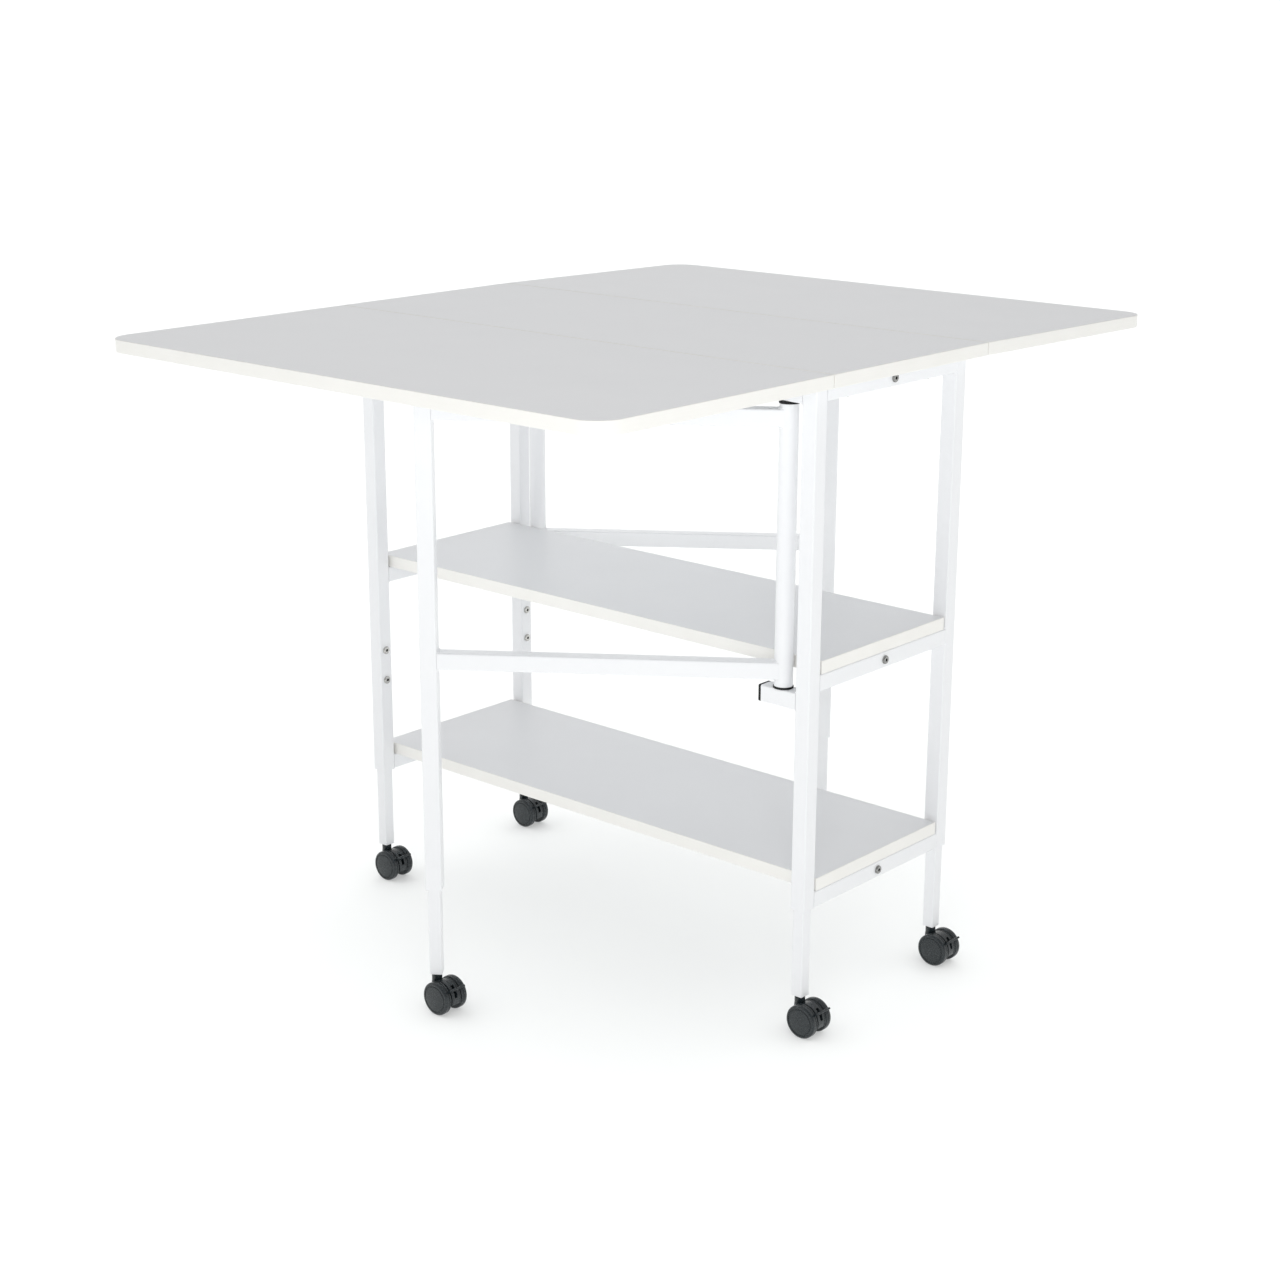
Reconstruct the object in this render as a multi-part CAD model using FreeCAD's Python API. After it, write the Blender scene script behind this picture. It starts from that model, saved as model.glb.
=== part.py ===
import FreeCAD, Part
import math
import os

from FreeCAD import Vector

# Drop-leaf sewing table on casters.
# Frame: origin on the floor under the middle of the top, +X along the top's
# seams, +Y across the leaves towards the back, +Z up. All lengths in mm.

# ---- top and shelves ----
OVERALL_HEIGHT = 907.0
TOP_LENGTH = 911.0
CENTRE_PANEL_WIDTH = 344.0
LEAF_WIDTH = 429.0
PANEL_THICKNESS = 18.0
SEAM_GAP = 1.3
LEAF_CORNER_RADIUS = 40.0
BACK_LEAF_SAG = 0.9          # degrees, down on to the back gate
SHELF_LENGTH = 849.0
SHELF_DEPTH = 281.0
UPPER_SHELF_TOP = 524.0
LOWER_SHELF_TOP = 220.0

# ---- square frame tube ----
TUBE = 23.0
TUBE_WALL = 1.5
TUBE_CORNER = 2.0
LEAST_BORE_CORNER = 0.4
UPRIGHT_X = 413.5
UPRIGHT_Y = 156.0

# ---- telescoping legs ----
INNER_TUBE = 17.4
INNER_WALL = 1.2
INNER_CORNER = 1.5
INNER_LEG_TOP = 400.0
LEG_BOTTOM = 53.0
PLUG_FLANGE = 2.0
PLUG_DEPTH = 30.0
PLUG_CORNER = 0.4
SLEEVE_LENGTH = 30.0
SLEEVE_CLEARANCE = 0.15
LOCK_SCREW_HEIGHTS = (328.0, 376.0)
LOCK_SCREW_RADIUS = 3.0
LOCK_HEAD_RADIUS = 6.0
LOCK_HEAD_HEIGHT = 3.0
LOCK_TIP_GAP = 0.2

# ---- gates: a hinged leg frame under each leaf ----
GATE_PIVOT_X = 373.5
GATE_LENGTH = 469.7          # pivot axis to the middle of the gate leg
GATE_OPEN_ANGLE = 36.5       # degrees out from the line of the uprights
POST_RADIUS = 12.7
POST_WALL = 1.5
POST_BOTTOM_CAP = 2.8
POST_TOP_CAP = 3.5
POST_FLANGE_RADIUS = 13.7
CAP_PLUG_LENGTH = 12.0
GATE_MID_RAIL_BOTTOM = 494.5
GATE_TOP_RAIL_BOTTOM = 829.5
GATE_LEG_TOP = 880.0
REST_FLANGE = 3.0
REST_PAD_RADIUS = 8.0
REST_PAD_ROUNDING = 0.6
FRONT_REST_TOP = 888.8
BACK_REST_TOP = 884.3
LOWER_STUB_TOP = 481.5
UPPER_STUB_BOTTOM = 863.0
STUB_END_X = 345.0
STUB_CAP = 4.0
STUB_CAP_PLUG = 10.0
PIVOT_PIN_RADIUS = 5.0
PIVOT_CLEARANCE = 0.05
PIVOT_PIN_REACH = 14.0
STOP_LENGTH = 30.0
STOP_WIDTH = 12.0
STOP_HEIGHT = 12.0
STOP_GAP = 0.3
STOP_ROUNDING = 2.0

# ---- fasteners ----
RAIL_BOLT_RADIUS = 3.0
RAIL_BOLT_HEAD_RADIUS = 6.0
RAIL_BOLT_HEAD_HEIGHT = 3.0
RAIL_BOLT_REACH = 18.0       # past the rail, into the stretcher's end plug
HEX_ACROSS_FLATS = 4.0
HEX_DEPTH = 2.0
BUTTON_ROUNDING = 1.8
END_PLUG_LENGTH = 22.0
WOOD_SCREW_RADIUS = 2.0
WOOD_SCREW_HEAD_RADIUS = 4.0
WOOD_SCREW_HEAD_HEIGHT = 2.5
WOOD_SCREW_HEAD_ROUNDING = 1.0
WOOD_SCREW_BITE = 12.0
WOOD_SCREW_POINT = 4.0       # length of the tapered tip
WOOD_SCREW_TIP_RADIUS = 0.3
WOOD_SCREW_Y = 90.0
HOLE_CLEARANCE = 0.05

# ---- hinges under the seams ----
HINGE_POSITIONS = (-330.0, 0.0, 330.0)
HINGE_LENGTH = 60.0
HINGE_PLATE_WIDTH = 22.0
HINGE_PLATE = 1.5
HINGE_BARREL_RADIUS = 2.75
HINGE_PIN_RADIUS = 1.5
HINGE_KNUCKLES = 5
HINGE_KNUCKLE_GAP = 0.2
HINGE_SCREW_RADIUS = 1.5
HINGE_SCREW_HEAD_RADIUS = 3.0
HINGE_SCREW_BITE = 12.0
HINGE_SCREW_END_GAP = 0.5    # left in the bottom of its pilot hole
HINGE_SCREW_PITCH = 38.0
HINGE_SCREW_OFFSET = 15.0    # from the barrel's axis

# ---- casters ----
WHEEL_RADIUS = 23.6
CASTER_HALF_WIDTH = 21.7
WHEEL_INNER_FACE = 9.6
CASTER_TRAIL = 15.6
WHEEL_DOME = 1.5
WHEEL_GROOVE_RADIUS = 18.6
WHEEL_GROOVE = 0.7
TREAD_ROUNDING = 3.0
AXLE_RADIUS = 2.5
AXLE_CLEARANCE = 0.05
AXLE_HALF_LENGTH = 18.0
AXLE_END_GAP = 0.3
HOOD_RADIUS = 22.8
HOOD_HALF_WIDTH = 8.2
HOOD_BOTTOM = 15.5
BOSS_RADIUS = 7.2
BOSS_TOP = 51.0
BOSS_BOTTOM = 26.0
BOSS_ROUNDING = 1.0
STEM_RADIUS = 4.0
STEM_CLEARANCE = 0.05
STEM_BOTTOM = 34.0
STEM_REACH = 26.0            # above the leg's bottom face
STEM_END_GAP = 0.5
BRAKE_SLOT_HALF_WIDTH = 2.5
BRAKE_SLOT_HEIGHTS = (2.5, 18.0)     # above the axle
BRAKE_SLOT_BACK = 4.0        # from the brake's pin towards the axle
BRAKE_PIVOT = (9.2, 7.7)     # behind and above the axle
BRAKE_PIN_RADIUS = 1.5
BRAKE_PIN_END_GAP = 0.3
BRAKE_ARM_HALF_WIDTH = 2.0
BRAKE_ARM_THICKNESS = 5.5
BRAKE_HUB_RADIUS = 3.0
PEDAL_ANGLE = 35.0           # degrees above the horizontal through the axle
PEDAL_NEAR = 24.7            # from the axle's axis
PEDAL_FAR = 31.7
PEDAL_THICKNESS = 3.0
PEDAL_HALF_WIDTH = 13.5
PEDAL_ROUNDING = 0.8

# ---- worked-out sizes ----
HALF_TUBE = TUBE / 2
TOP_UNDERSIDE = OVERALL_HEIGHT - PANEL_THICKNESS
TOP_RAIL_BOTTOM = TOP_UNDERSIDE - TUBE
UPPER_RAIL_BOTTOM = UPPER_SHELF_TOP - PANEL_THICKNESS - TUBE
LOWER_RAIL_BOTTOM = LOWER_SHELF_TOP - PANEL_THICKNESS - TUBE
RAIL_BOTTOMS = (LOWER_RAIL_BOTTOM, UPPER_RAIL_BOTTOM, TOP_RAIL_BOTTOM)
RAIL_HALF_LENGTH = UPRIGHT_Y - HALF_TUBE
STRETCHER_HALF_LENGTH = UPRIGHT_X - HALF_TUBE
SEAM_Y = CENTRE_PANEL_WIDTH / 2 + SEAM_GAP / 2
HINGE_AXIS_Z = TOP_UNDERSIDE - HINGE_BARREL_RADIUS
GATE_LEG_X = GATE_PIVOT_X - GATE_LENGTH      # with the gate closed

# ---- for making the shapes ----
OVERCUT = 1.0                # how far a cutting tool runs past the piece
ACROSS_TUBE = TUBE + 2 * OVERCUT
TOLERANCE = 0.01             # when an edge is picked by its place

X_AXIS = Vector(1, 0, 0)
Y_AXIS = Vector(0, 1, 0)
Z_AXIS = Vector(0, 0, 1)


def turned(shape, angle, centre=(0, 0, 0), axis=Z_AXIS):
    """A copy of the shape, turned about an axis through centre."""
    copy = shape.copy()
    copy.rotate(Vector(*centre), axis, angle)
    return copy


def moved(shape, x=0.0, y=0.0, z=0.0):
    copy = shape.copy()
    copy.translate(Vector(x, y, z))
    return copy


def half_turn(shape):
    """The same piece on the opposite side of the table."""
    return turned(shape, 180)


def is_upright(edge):
    return edge.BoundBox.ZLength > TOLERANCE and edge.BoundBox.XLength + edge.BoundBox.YLength < TOLERANCE


def square_bar(size, length, corner):
    """A bar along +Z from the origin, with rounded long edges."""
    bar = Part.makeBox(size, size, length, Vector(-size / 2, -size / 2, 0))
    if corner > 0:
        bar = bar.makeFillet(corner, [e for e in bar.Edges if is_upright(e)])
    return bar


def square_tube(size, wall, corner, length):
    hollow = square_bar(size - 2 * wall, length, max(corner - wall, LEAST_BORE_CORNER))
    return square_bar(size, length, corner).cut(hollow)


def frame_tube(length):
    return square_tube(TUBE, TUBE_WALL, TUBE_CORNER, length)


def along_x(shape):
    """Lays a piece that was made along +Z down along +X."""
    return turned(shape, 90, axis=Y_AXIS)


def along_y(shape):
    """Lays a piece that was made along +Z down along +Y."""
    return turned(shape, -90, axis=X_AXIS)


def centred_tube_x(half_length):
    return moved(along_x(frame_tube(2 * half_length)), x=-half_length)


def centred_tube_y(half_length):
    return moved(along_y(frame_tube(2 * half_length)), y=-half_length)


def hole(radius, length, x, y, z, axis=Z_AXIS):
    return Part.makeCylinder(radius, length, Vector(x, y, z), axis)


def hex_socket(across_flats, depth, z):
    """A six-sided recess in a screw head, opening upwards at z."""
    corner = across_flats / math.sqrt(3)
    points = [
        Vector(corner * math.cos(math.radians(60 * k)), corner * math.sin(math.radians(60 * k)), z)
        for k in range(7)
    ]
    return Part.Face(Part.makePolygon(points)).extrude(Vector(0, 0, -depth))


def button_screw(shank_radius, shank_length, head_radius, head_height):
    """A low socket-head screw: its head stands on z = 0, its shank hangs below."""
    head = Part.makeCylinder(head_radius, head_height)
    top_rim = [e for e in head.Edges if e.BoundBox.ZMin > head_height - TOLERANCE]
    head = head.makeFillet(BUTTON_ROUNDING, top_rim)
    shank = Part.makeCylinder(shank_radius, shank_length, Vector(0, 0, -shank_length))
    return head.fuse(shank).cut(hex_socket(HEX_ACROSS_FLATS, HEX_DEPTH, head_height))


# ---- panels -----------------------------------------------------------------

def wood_screw_places():
    return [
        (side * UPRIGHT_X, end * WOOD_SCREW_Y, bottom)
        for side in (-1, 1)
        for end in (-1, 1)
        for bottom in RAIL_BOTTOMS
    ]


def wood_screw_pilots():
    radius = WOOD_SCREW_RADIUS + HOLE_CLEARANCE
    depth = TUBE + WOOD_SCREW_BITE + HOLE_CLEARANCE
    return [hole(radius, depth, x, y, z) for x, y, z in wood_screw_places()]


def hinge_screw_pilots(side, on_leaf):
    """Pilot holes in one panel's underside along one seam."""
    offset = HINGE_SCREW_OFFSET if on_leaf else -HINGE_SCREW_OFFSET
    y = side * (SEAM_Y + offset)
    return [
        hole(HINGE_SCREW_RADIUS + HOLE_CLEARANCE, HINGE_SCREW_BITE, x + step, y, TOP_UNDERSIDE)
        for x in HINGE_POSITIONS
        for step in (-HINGE_SCREW_PITCH / 2, HINGE_SCREW_PITCH / 2)
    ]


def centre_panel():
    board = Part.makeBox(
        TOP_LENGTH, CENTRE_PANEL_WIDTH, PANEL_THICKNESS,
        Vector(-TOP_LENGTH / 2, -CENTRE_PANEL_WIDTH / 2, TOP_UNDERSIDE),
    )
    pilots = wood_screw_pilots() + hinge_screw_pilots(-1, False) + hinge_screw_pilots(1, False)
    return board.cut(pilots)


def level_leaf():
    """The front leaf: square at the seam, rounded at its two outer corners."""
    inner_y = -(SEAM_Y + SEAM_GAP / 2)
    board = Part.makeBox(
        TOP_LENGTH, LEAF_WIDTH, PANEL_THICKNESS,
        Vector(-TOP_LENGTH / 2, inner_y - LEAF_WIDTH, TOP_UNDERSIDE),
    )
    outer = [e for e in board.Edges if is_upright(e) and e.BoundBox.YMax < inner_y - LEAF_CORNER_RADIUS]
    return board.makeFillet(LEAF_CORNER_RADIUS, outer).cut(hinge_screw_pilots(-1, True))


def sagged(shape):
    """Drops a piece of the back leaf about its hinges' axis."""
    return turned(shape, -BACK_LEAF_SAG, (0, SEAM_Y, HINGE_AXIS_Z), X_AXIS)


def shelf(top):
    board = Part.makeBox(
        SHELF_LENGTH, SHELF_DEPTH, PANEL_THICKNESS,
        Vector(-SHELF_LENGTH / 2, -SHELF_DEPTH / 2, top - PANEL_THICKNESS),
    )
    return board.cut(wood_screw_pilots())


# ---- end frames and stretchers ----------------------------------------------

def upright(x, y):
    """An outer leg tube, with threaded holes for its lock screws facing inwards."""
    tube = moved(frame_tube(TOP_UNDERSIDE - LOWER_RAIL_BOTTOM), x, y, LOWER_RAIL_BOTTOM)
    inward = Vector(-1 if x > 0 else 1, 0, 0)
    holes = [
        hole(LOCK_SCREW_RADIUS + HOLE_CLEARANCE, TUBE, x, y, z, inward)
        for z in LOCK_SCREW_HEIGHTS
    ]
    return tube.cut(holes)


def end_rails():
    """Three cross rails at each end, drilled for a bolt and two wood screws."""
    drilled = []
    for side in (-1, 1):
        for bottom in RAIL_BOTTOMS:
            rail = moved(centred_tube_y(RAIL_HALF_LENGTH), side * UPRIGHT_X, 0, bottom + HALF_TUBE)
            bolt_hole = hole(
                RAIL_BOLT_RADIUS + HOLE_CLEARANCE, ACROSS_TUBE,
                side * UPRIGHT_X - HALF_TUBE - OVERCUT, 0, bottom + HALF_TUBE, X_AXIS,
            )
            screw_holes = [
                hole(
                    WOOD_SCREW_RADIUS + HOLE_CLEARANCE, ACROSS_TUBE,
                    side * UPRIGHT_X, y, bottom - OVERCUT,
                )
                for y in (-WOOD_SCREW_Y, WOOD_SCREW_Y)
            ]
            drilled.append(rail.cut([bolt_hole] + screw_holes))
    return drilled


def stretcher(bottom):
    return moved(centred_tube_x(STRETCHER_HALF_LENGTH), 0, 0, bottom + HALF_TUBE)


def stretcher_end_plug():
    """A tapped block pressed into a stretcher's +X end, made at the origin's height."""
    size = TUBE - 2 * TUBE_WALL - 2 * HOLE_CLEARANCE
    block = along_x(square_bar(size, END_PLUG_LENGTH, TUBE_CORNER - TUBE_WALL))
    block = moved(block, STRETCHER_HALF_LENGTH - END_PLUG_LENGTH)
    thread = hole(
        RAIL_BOLT_RADIUS + HOLE_CLEARANCE, END_PLUG_LENGTH + 2 * OVERCUT,
        STRETCHER_HALF_LENGTH - END_PLUG_LENGTH - OVERCUT, 0, 0, X_AXIS,
    )
    return block.cut(thread)


def stretchers():
    pieces = []
    for bottom in RAIL_BOTTOMS:
        plug = moved(stretcher_end_plug(), z=bottom + HALF_TUBE)
        pieces += [stretcher(bottom), plug, half_turn(plug)]
    return pieces


def rail_bolts():
    bolt = button_screw(
        RAIL_BOLT_RADIUS, TUBE + RAIL_BOLT_REACH, RAIL_BOLT_HEAD_RADIUS, RAIL_BOLT_HEAD_HEIGHT
    )
    bolt = moved(along_x(bolt), UPRIGHT_X + HALF_TUBE)
    pieces = []
    for bottom in RAIL_BOTTOMS:
        right = moved(bolt, z=bottom + HALF_TUBE)
        pieces += [right, half_turn(right)]
    return pieces


def wood_screw():
    """A pan-head screw standing upwards on its head, whose seat is at z = 0."""
    head = Part.makeCylinder(
        WOOD_SCREW_HEAD_RADIUS, WOOD_SCREW_HEAD_HEIGHT, Vector(0, 0, -WOOD_SCREW_HEAD_HEIGHT)
    )
    rim = [e for e in head.Edges if e.BoundBox.ZMax < -WOOD_SCREW_HEAD_HEIGHT + TOLERANCE]
    head = head.makeFillet(WOOD_SCREW_HEAD_ROUNDING, rim)
    straight = TUBE + WOOD_SCREW_BITE - WOOD_SCREW_POINT
    shank = Part.makeCylinder(WOOD_SCREW_RADIUS, straight)
    point = Part.makeCone(
        WOOD_SCREW_RADIUS, WOOD_SCREW_TIP_RADIUS, WOOD_SCREW_POINT, Vector(0, 0, straight)
    )
    return head.fuse([shank, point])


def hinge_screw():
    """A countersunk screw standing upwards, its head's face at z = 0."""
    head = Part.makeCone(HINGE_SCREW_HEAD_RADIUS, HINGE_SCREW_RADIUS, HINGE_PLATE)
    reach = HINGE_PLATE + HINGE_SCREW_BITE - HINGE_SCREW_END_GAP
    shank = Part.makeCylinder(HINGE_SCREW_RADIUS, reach)
    return head.fuse(shank)


def hinge_screw_sets():
    """Every hinge screw along the front seam: those in the centre panel, then the leaf's."""
    sets = []
    for offset in (-HINGE_SCREW_OFFSET, HINGE_SCREW_OFFSET):
        sets.append([
            moved(hinge_screw(), x + step, -(SEAM_Y + offset), TOP_UNDERSIDE - HINGE_PLATE)
            for x in HINGE_POSITIONS
            for step in (-HINGE_SCREW_PITCH / 2, HINGE_SCREW_PITCH / 2)
        ])
    return sets


def wood_screws():
    pieces = [moved(wood_screw(), x, y, z) for x, y, z in wood_screw_places()]
    in_centre, in_leaf = hinge_screw_sets()
    pieces += in_centre + in_leaf
    pieces += [half_turn(screw) for screw in in_centre]
    pieces += [sagged(half_turn(screw)) for screw in in_leaf]
    return pieces


# ---- hinges -----------------------------------------------------------------

def hinge_half(x, on_leaf):
    """One plate of a hinge under the front seam, with its own knuckles."""
    knuckle = HINGE_LENGTH / HINGE_KNUCKLES
    first = 1 if on_leaf else 0
    sign = -1 if on_leaf else 1
    y_edge = -SEAM_Y + sign * HINGE_PLATE_WIDTH
    plate = Part.makeBox(
        HINGE_LENGTH, HINGE_PLATE_WIDTH, HINGE_PLATE,
        Vector(x - HINGE_LENGTH / 2, min(-SEAM_Y, y_edge), TOP_UNDERSIDE - HINGE_PLATE),
    )
    for k in range(HINGE_KNUCKLES):
        start = x - HINGE_LENGTH / 2 + k * knuckle
        if k % 2 == first:
            length = knuckle - HINGE_KNUCKLE_GAP
            barrel = hole(
                HINGE_BARREL_RADIUS, length, start + HINGE_KNUCKLE_GAP / 2,
                -SEAM_Y, HINGE_AXIS_Z, X_AXIS,
            )
            plate = plate.fuse(barrel)
        else:
            notch = hole(
                HINGE_BARREL_RADIUS + HINGE_KNUCKLE_GAP, knuckle, start,
                -SEAM_Y, HINGE_AXIS_Z, X_AXIS,
            )
            plate = plate.cut(notch)
    pin_bore = hole(
        HINGE_PIN_RADIUS + HOLE_CLEARANCE, HINGE_LENGTH, x - HINGE_LENGTH / 2,
        -SEAM_Y, HINGE_AXIS_Z, X_AXIS,
    )
    seats = [
        moved(
            Part.makeCone(
                HINGE_SCREW_HEAD_RADIUS + HOLE_CLEARANCE, HINGE_SCREW_RADIUS + HOLE_CLEARANCE,
                HINGE_PLATE,
            ),
            x + step, -SEAM_Y + sign * HINGE_SCREW_OFFSET, TOP_UNDERSIDE - HINGE_PLATE,
        )
        for step in (-HINGE_SCREW_PITCH / 2, HINGE_SCREW_PITCH / 2)
    ]
    return plate.cut([pin_bore] + seats)


def hinge_plates():
    pieces = []
    for x in HINGE_POSITIONS:
        centre_half = hinge_half(x, False)
        leaf_half = hinge_half(x, True)
        pieces += [centre_half, leaf_half, half_turn(centre_half), sagged(half_turn(leaf_half))]
    return pieces


def hinge_pins():
    return [
        hole(HINGE_PIN_RADIUS, HINGE_LENGTH, x - HINGE_LENGTH / 2, side * SEAM_Y, HINGE_AXIS_Z, X_AXIS)
        for x in HINGE_POSITIONS
        for side in (-1, 1)
    ]


# ---- gate supports on the frame ---------------------------------------------

def stub(bottom):
    """A short arm on the front right upright that carries one end of the gate's post."""
    length = UPRIGHT_X - HALF_TUBE - STUB_END_X
    arm = moved(along_x(frame_tube(length)), STUB_END_X, -UPRIGHT_Y, bottom + HALF_TUBE)
    pin_hole = hole(
        PIVOT_PIN_RADIUS + HOLE_CLEARANCE, ACROSS_TUBE, GATE_PIVOT_X, -UPRIGHT_Y, bottom - OVERCUT
    )
    return arm.cut(pin_hole)


def gate_stubs():
    arms = [stub(LOWER_STUB_TOP - TUBE), stub(UPPER_STUB_BOTTOM)]
    return arms + [half_turn(arm) for arm in arms]


def stub_cap(bottom):
    plate = along_x(square_bar(TUBE, STUB_CAP, TUBE_CORNER))
    plug_size = TUBE - 2 * TUBE_WALL - 2 * HOLE_CLEARANCE
    plug = along_x(square_bar(plug_size, STUB_CAP_PLUG, TUBE_CORNER - TUBE_WALL))
    cap = plate.fuse(moved(plug, STUB_CAP))
    return moved(cap, STUB_END_X - STUB_CAP, -UPRIGHT_Y, bottom + HALF_TUBE)


def guide_sleeve(x, y):
    """A plastic lining in the foot of an outer leg tube that the inner leg slides in."""
    outer = TUBE - 2 * TUBE_WALL - 2 * HOLE_CLEARANCE
    inner = INNER_TUBE + 2 * SLEEVE_CLEARANCE
    lining = square_bar(outer, SLEEVE_LENGTH, TUBE_CORNER - TUBE_WALL)
    lining = lining.cut(square_bar(inner, SLEEVE_LENGTH, INNER_CORNER))
    return moved(lining, x, y, LOWER_RAIL_BOTTOM)


def frame_plastic_caps():
    caps = [stub_cap(LOWER_STUB_TOP - TUBE), stub_cap(UPPER_STUB_BOTTOM)]
    caps += [half_turn(cap) for cap in caps]
    for x in (-UPRIGHT_X, UPRIGHT_X):
        for y in (-UPRIGHT_Y, UPRIGHT_Y):
            caps.append(guide_sleeve(x, y))
    return caps


def gate_pivot_pins():
    """Pins through the stubs that stand into the two ends of each gate post."""
    starts = (LOWER_STUB_TOP - TUBE, UPPER_STUB_BOTTOM - PIVOT_PIN_REACH)
    pins = [
        hole(PIVOT_PIN_RADIUS, TUBE + PIVOT_PIN_REACH, GATE_PIVOT_X, -UPRIGHT_Y, start)
        for start in starts
    ]
    return pins + [half_turn(pin) for pin in pins]


def lock_screw():
    """A leg lock screw along +X: the head's seat is on a tube face at x = HALF_TUBE."""
    reach = HALF_TUBE - INNER_TUBE / 2 - LOCK_TIP_GAP
    screw = button_screw(LOCK_SCREW_RADIUS, reach, LOCK_HEAD_RADIUS, LOCK_HEAD_HEIGHT)
    return moved(along_x(screw), HALF_TUBE)


def upright_lock_screws():
    pieces = []
    for y in (-UPRIGHT_Y, UPRIGHT_Y):
        for z in LOCK_SCREW_HEIGHTS:
            on_left = moved(lock_screw(), -UPRIGHT_X, y, z)
            pieces += [on_left, half_turn(on_left)]
    return pieces


# ---- gates, made closed along -X from the front right pivot ------------------

def opened(shape):
    """Swings a piece of the front gate out to its rest position."""
    return turned(shape, GATE_OPEN_ANGLE, (GATE_PIVOT_X, -UPRIGHT_Y, 0))


def gate_post():
    bottom = LOWER_STUB_TOP + POST_BOTTOM_CAP
    length = UPPER_STUB_BOTTOM - POST_TOP_CAP - bottom
    tube = hole(POST_RADIUS, length, GATE_PIVOT_X, -UPRIGHT_Y, bottom)
    bore = hole(POST_RADIUS - POST_WALL, length, GATE_PIVOT_X, -UPRIGHT_Y, bottom)
    return [tube.cut(bore)]


def gate_rail(bottom):
    """A rail from the post to the leg, its near end scooped to fit the round post."""
    start = GATE_LEG_X + HALF_TUBE
    rail = moved(along_x(frame_tube(GATE_PIVOT_X - start)), start, -UPRIGHT_Y, bottom + HALF_TUBE)
    scoop = hole(POST_RADIUS, ACROSS_TUBE, GATE_PIVOT_X, -UPRIGHT_Y, bottom - OVERCUT)
    return rail.cut(scoop)


def gate_rails():
    return [gate_rail(GATE_MID_RAIL_BOTTOM), gate_rail(GATE_TOP_RAIL_BOTTOM)]


def gate_leg_tube():
    """The gate's outer leg tube; its lock screws face the shelves when closed."""
    tube = moved(
        frame_tube(GATE_LEG_TOP - LOWER_RAIL_BOTTOM), GATE_LEG_X, -UPRIGHT_Y, LOWER_RAIL_BOTTOM
    )
    holes = [
        hole(LOCK_SCREW_RADIUS + HOLE_CLEARANCE, TUBE, GATE_LEG_X, -UPRIGHT_Y, z, Y_AXIS)
        for z in LOCK_SCREW_HEIGHTS
    ]
    return [tube.cut(holes)]


def post_cap(flange_bottom, flange, plug_bottom):
    """A flanged end cap that is also the bearing for a pivot pin."""
    plate = hole(POST_FLANGE_RADIUS, flange, GATE_PIVOT_X, -UPRIGHT_Y, flange_bottom)
    plug = hole(
        POST_RADIUS - POST_WALL - HOLE_CLEARANCE, CAP_PLUG_LENGTH,
        GATE_PIVOT_X, -UPRIGHT_Y, plug_bottom,
    )
    bore = hole(
        PIVOT_PIN_RADIUS + PIVOT_CLEARANCE, 2 * CAP_PLUG_LENGTH + flange,
        GATE_PIVOT_X, -UPRIGHT_Y, plug_bottom - CAP_PLUG_LENGTH,
    )
    return plate.fuse(plug).cut(bore)


def leaf_rest(top):
    """The cap in the gate leg's top, with the pad that the leaf lies on."""
    flange = moved(square_bar(TUBE, REST_FLANGE, TUBE_CORNER), z=GATE_LEG_TOP)
    plug_size = TUBE - 2 * TUBE_WALL - 2 * HOLE_CLEARANCE
    plug = square_bar(plug_size, CAP_PLUG_LENGTH, TUBE_CORNER - TUBE_WALL)
    plug = moved(plug, z=GATE_LEG_TOP - CAP_PLUG_LENGTH)
    pad_bottom = GATE_LEG_TOP + REST_FLANGE
    pad = hole(REST_PAD_RADIUS, top - pad_bottom, 0, 0, pad_bottom)
    rim = [e for e in pad.Edges if e.BoundBox.ZMin > top - TOLERANCE]
    pad = pad.makeFillet(REST_PAD_ROUNDING, rim)
    return moved(flange.fuse([plug, pad]), GATE_LEG_X, -UPRIGHT_Y)


def gate_plastic_caps(rest_top):
    lower_flange = LOWER_STUB_TOP
    upper_flange = UPPER_STUB_BOTTOM - POST_TOP_CAP
    return [
        post_cap(lower_flange, POST_BOTTOM_CAP, lower_flange + POST_BOTTOM_CAP),
        post_cap(upper_flange, POST_TOP_CAP, upper_flange - CAP_PLUG_LENGTH),
        leaf_rest(rest_top),
        guide_sleeve(GATE_LEG_X, -UPRIGHT_Y),
    ]


def gate_lock_screws():
    facing_shelves = turned(lock_screw(), 90)
    return [moved(facing_shelves, GATE_LEG_X, -UPRIGHT_Y, z) for z in LOCK_SCREW_HEIGHTS]


def leaf_stop():
    """A block under the front leaf that stops the opened gate leg."""
    near = HALF_TUBE + STOP_GAP
    block = Part.makeBox(
        STOP_LENGTH, STOP_WIDTH, STOP_HEIGHT,
        Vector(-STOP_LENGTH / 2, -near - STOP_WIDTH, TOP_UNDERSIDE - STOP_HEIGHT),
    )
    block_bottom = TOP_UNDERSIDE - STOP_HEIGHT
    lower_edges = [e for e in block.Edges if e.BoundBox.ZMax < block_bottom + TOLERANCE]
    block = block.makeFillet(STOP_ROUNDING, lower_edges)
    return opened(moved(block, GATE_LEG_X, -UPRIGHT_Y))


# ---- telescoping legs and casters, made on the Z axis ------------------------

def inner_leg():
    tube_bottom = LEG_BOTTOM + PLUG_FLANGE
    tube = square_tube(INNER_TUBE, INNER_WALL, INNER_CORNER, INNER_LEG_TOP - tube_bottom)
    tube = moved(tube, z=tube_bottom)
    flange = moved(square_bar(INNER_TUBE, PLUG_FLANGE, INNER_CORNER), z=LEG_BOTTOM)
    body = square_bar(INNER_TUBE - 2 * INNER_WALL - 2 * HOLE_CLEARANCE, PLUG_DEPTH, PLUG_CORNER)
    socket = hole(STEM_RADIUS + STEM_CLEARANCE, STEM_REACH + STEM_END_GAP, 0, 0, LEG_BOTTOM)
    plug = flange.fuse(moved(body, z=tube_bottom)).cut(socket)
    return [tube, plug]


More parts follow.
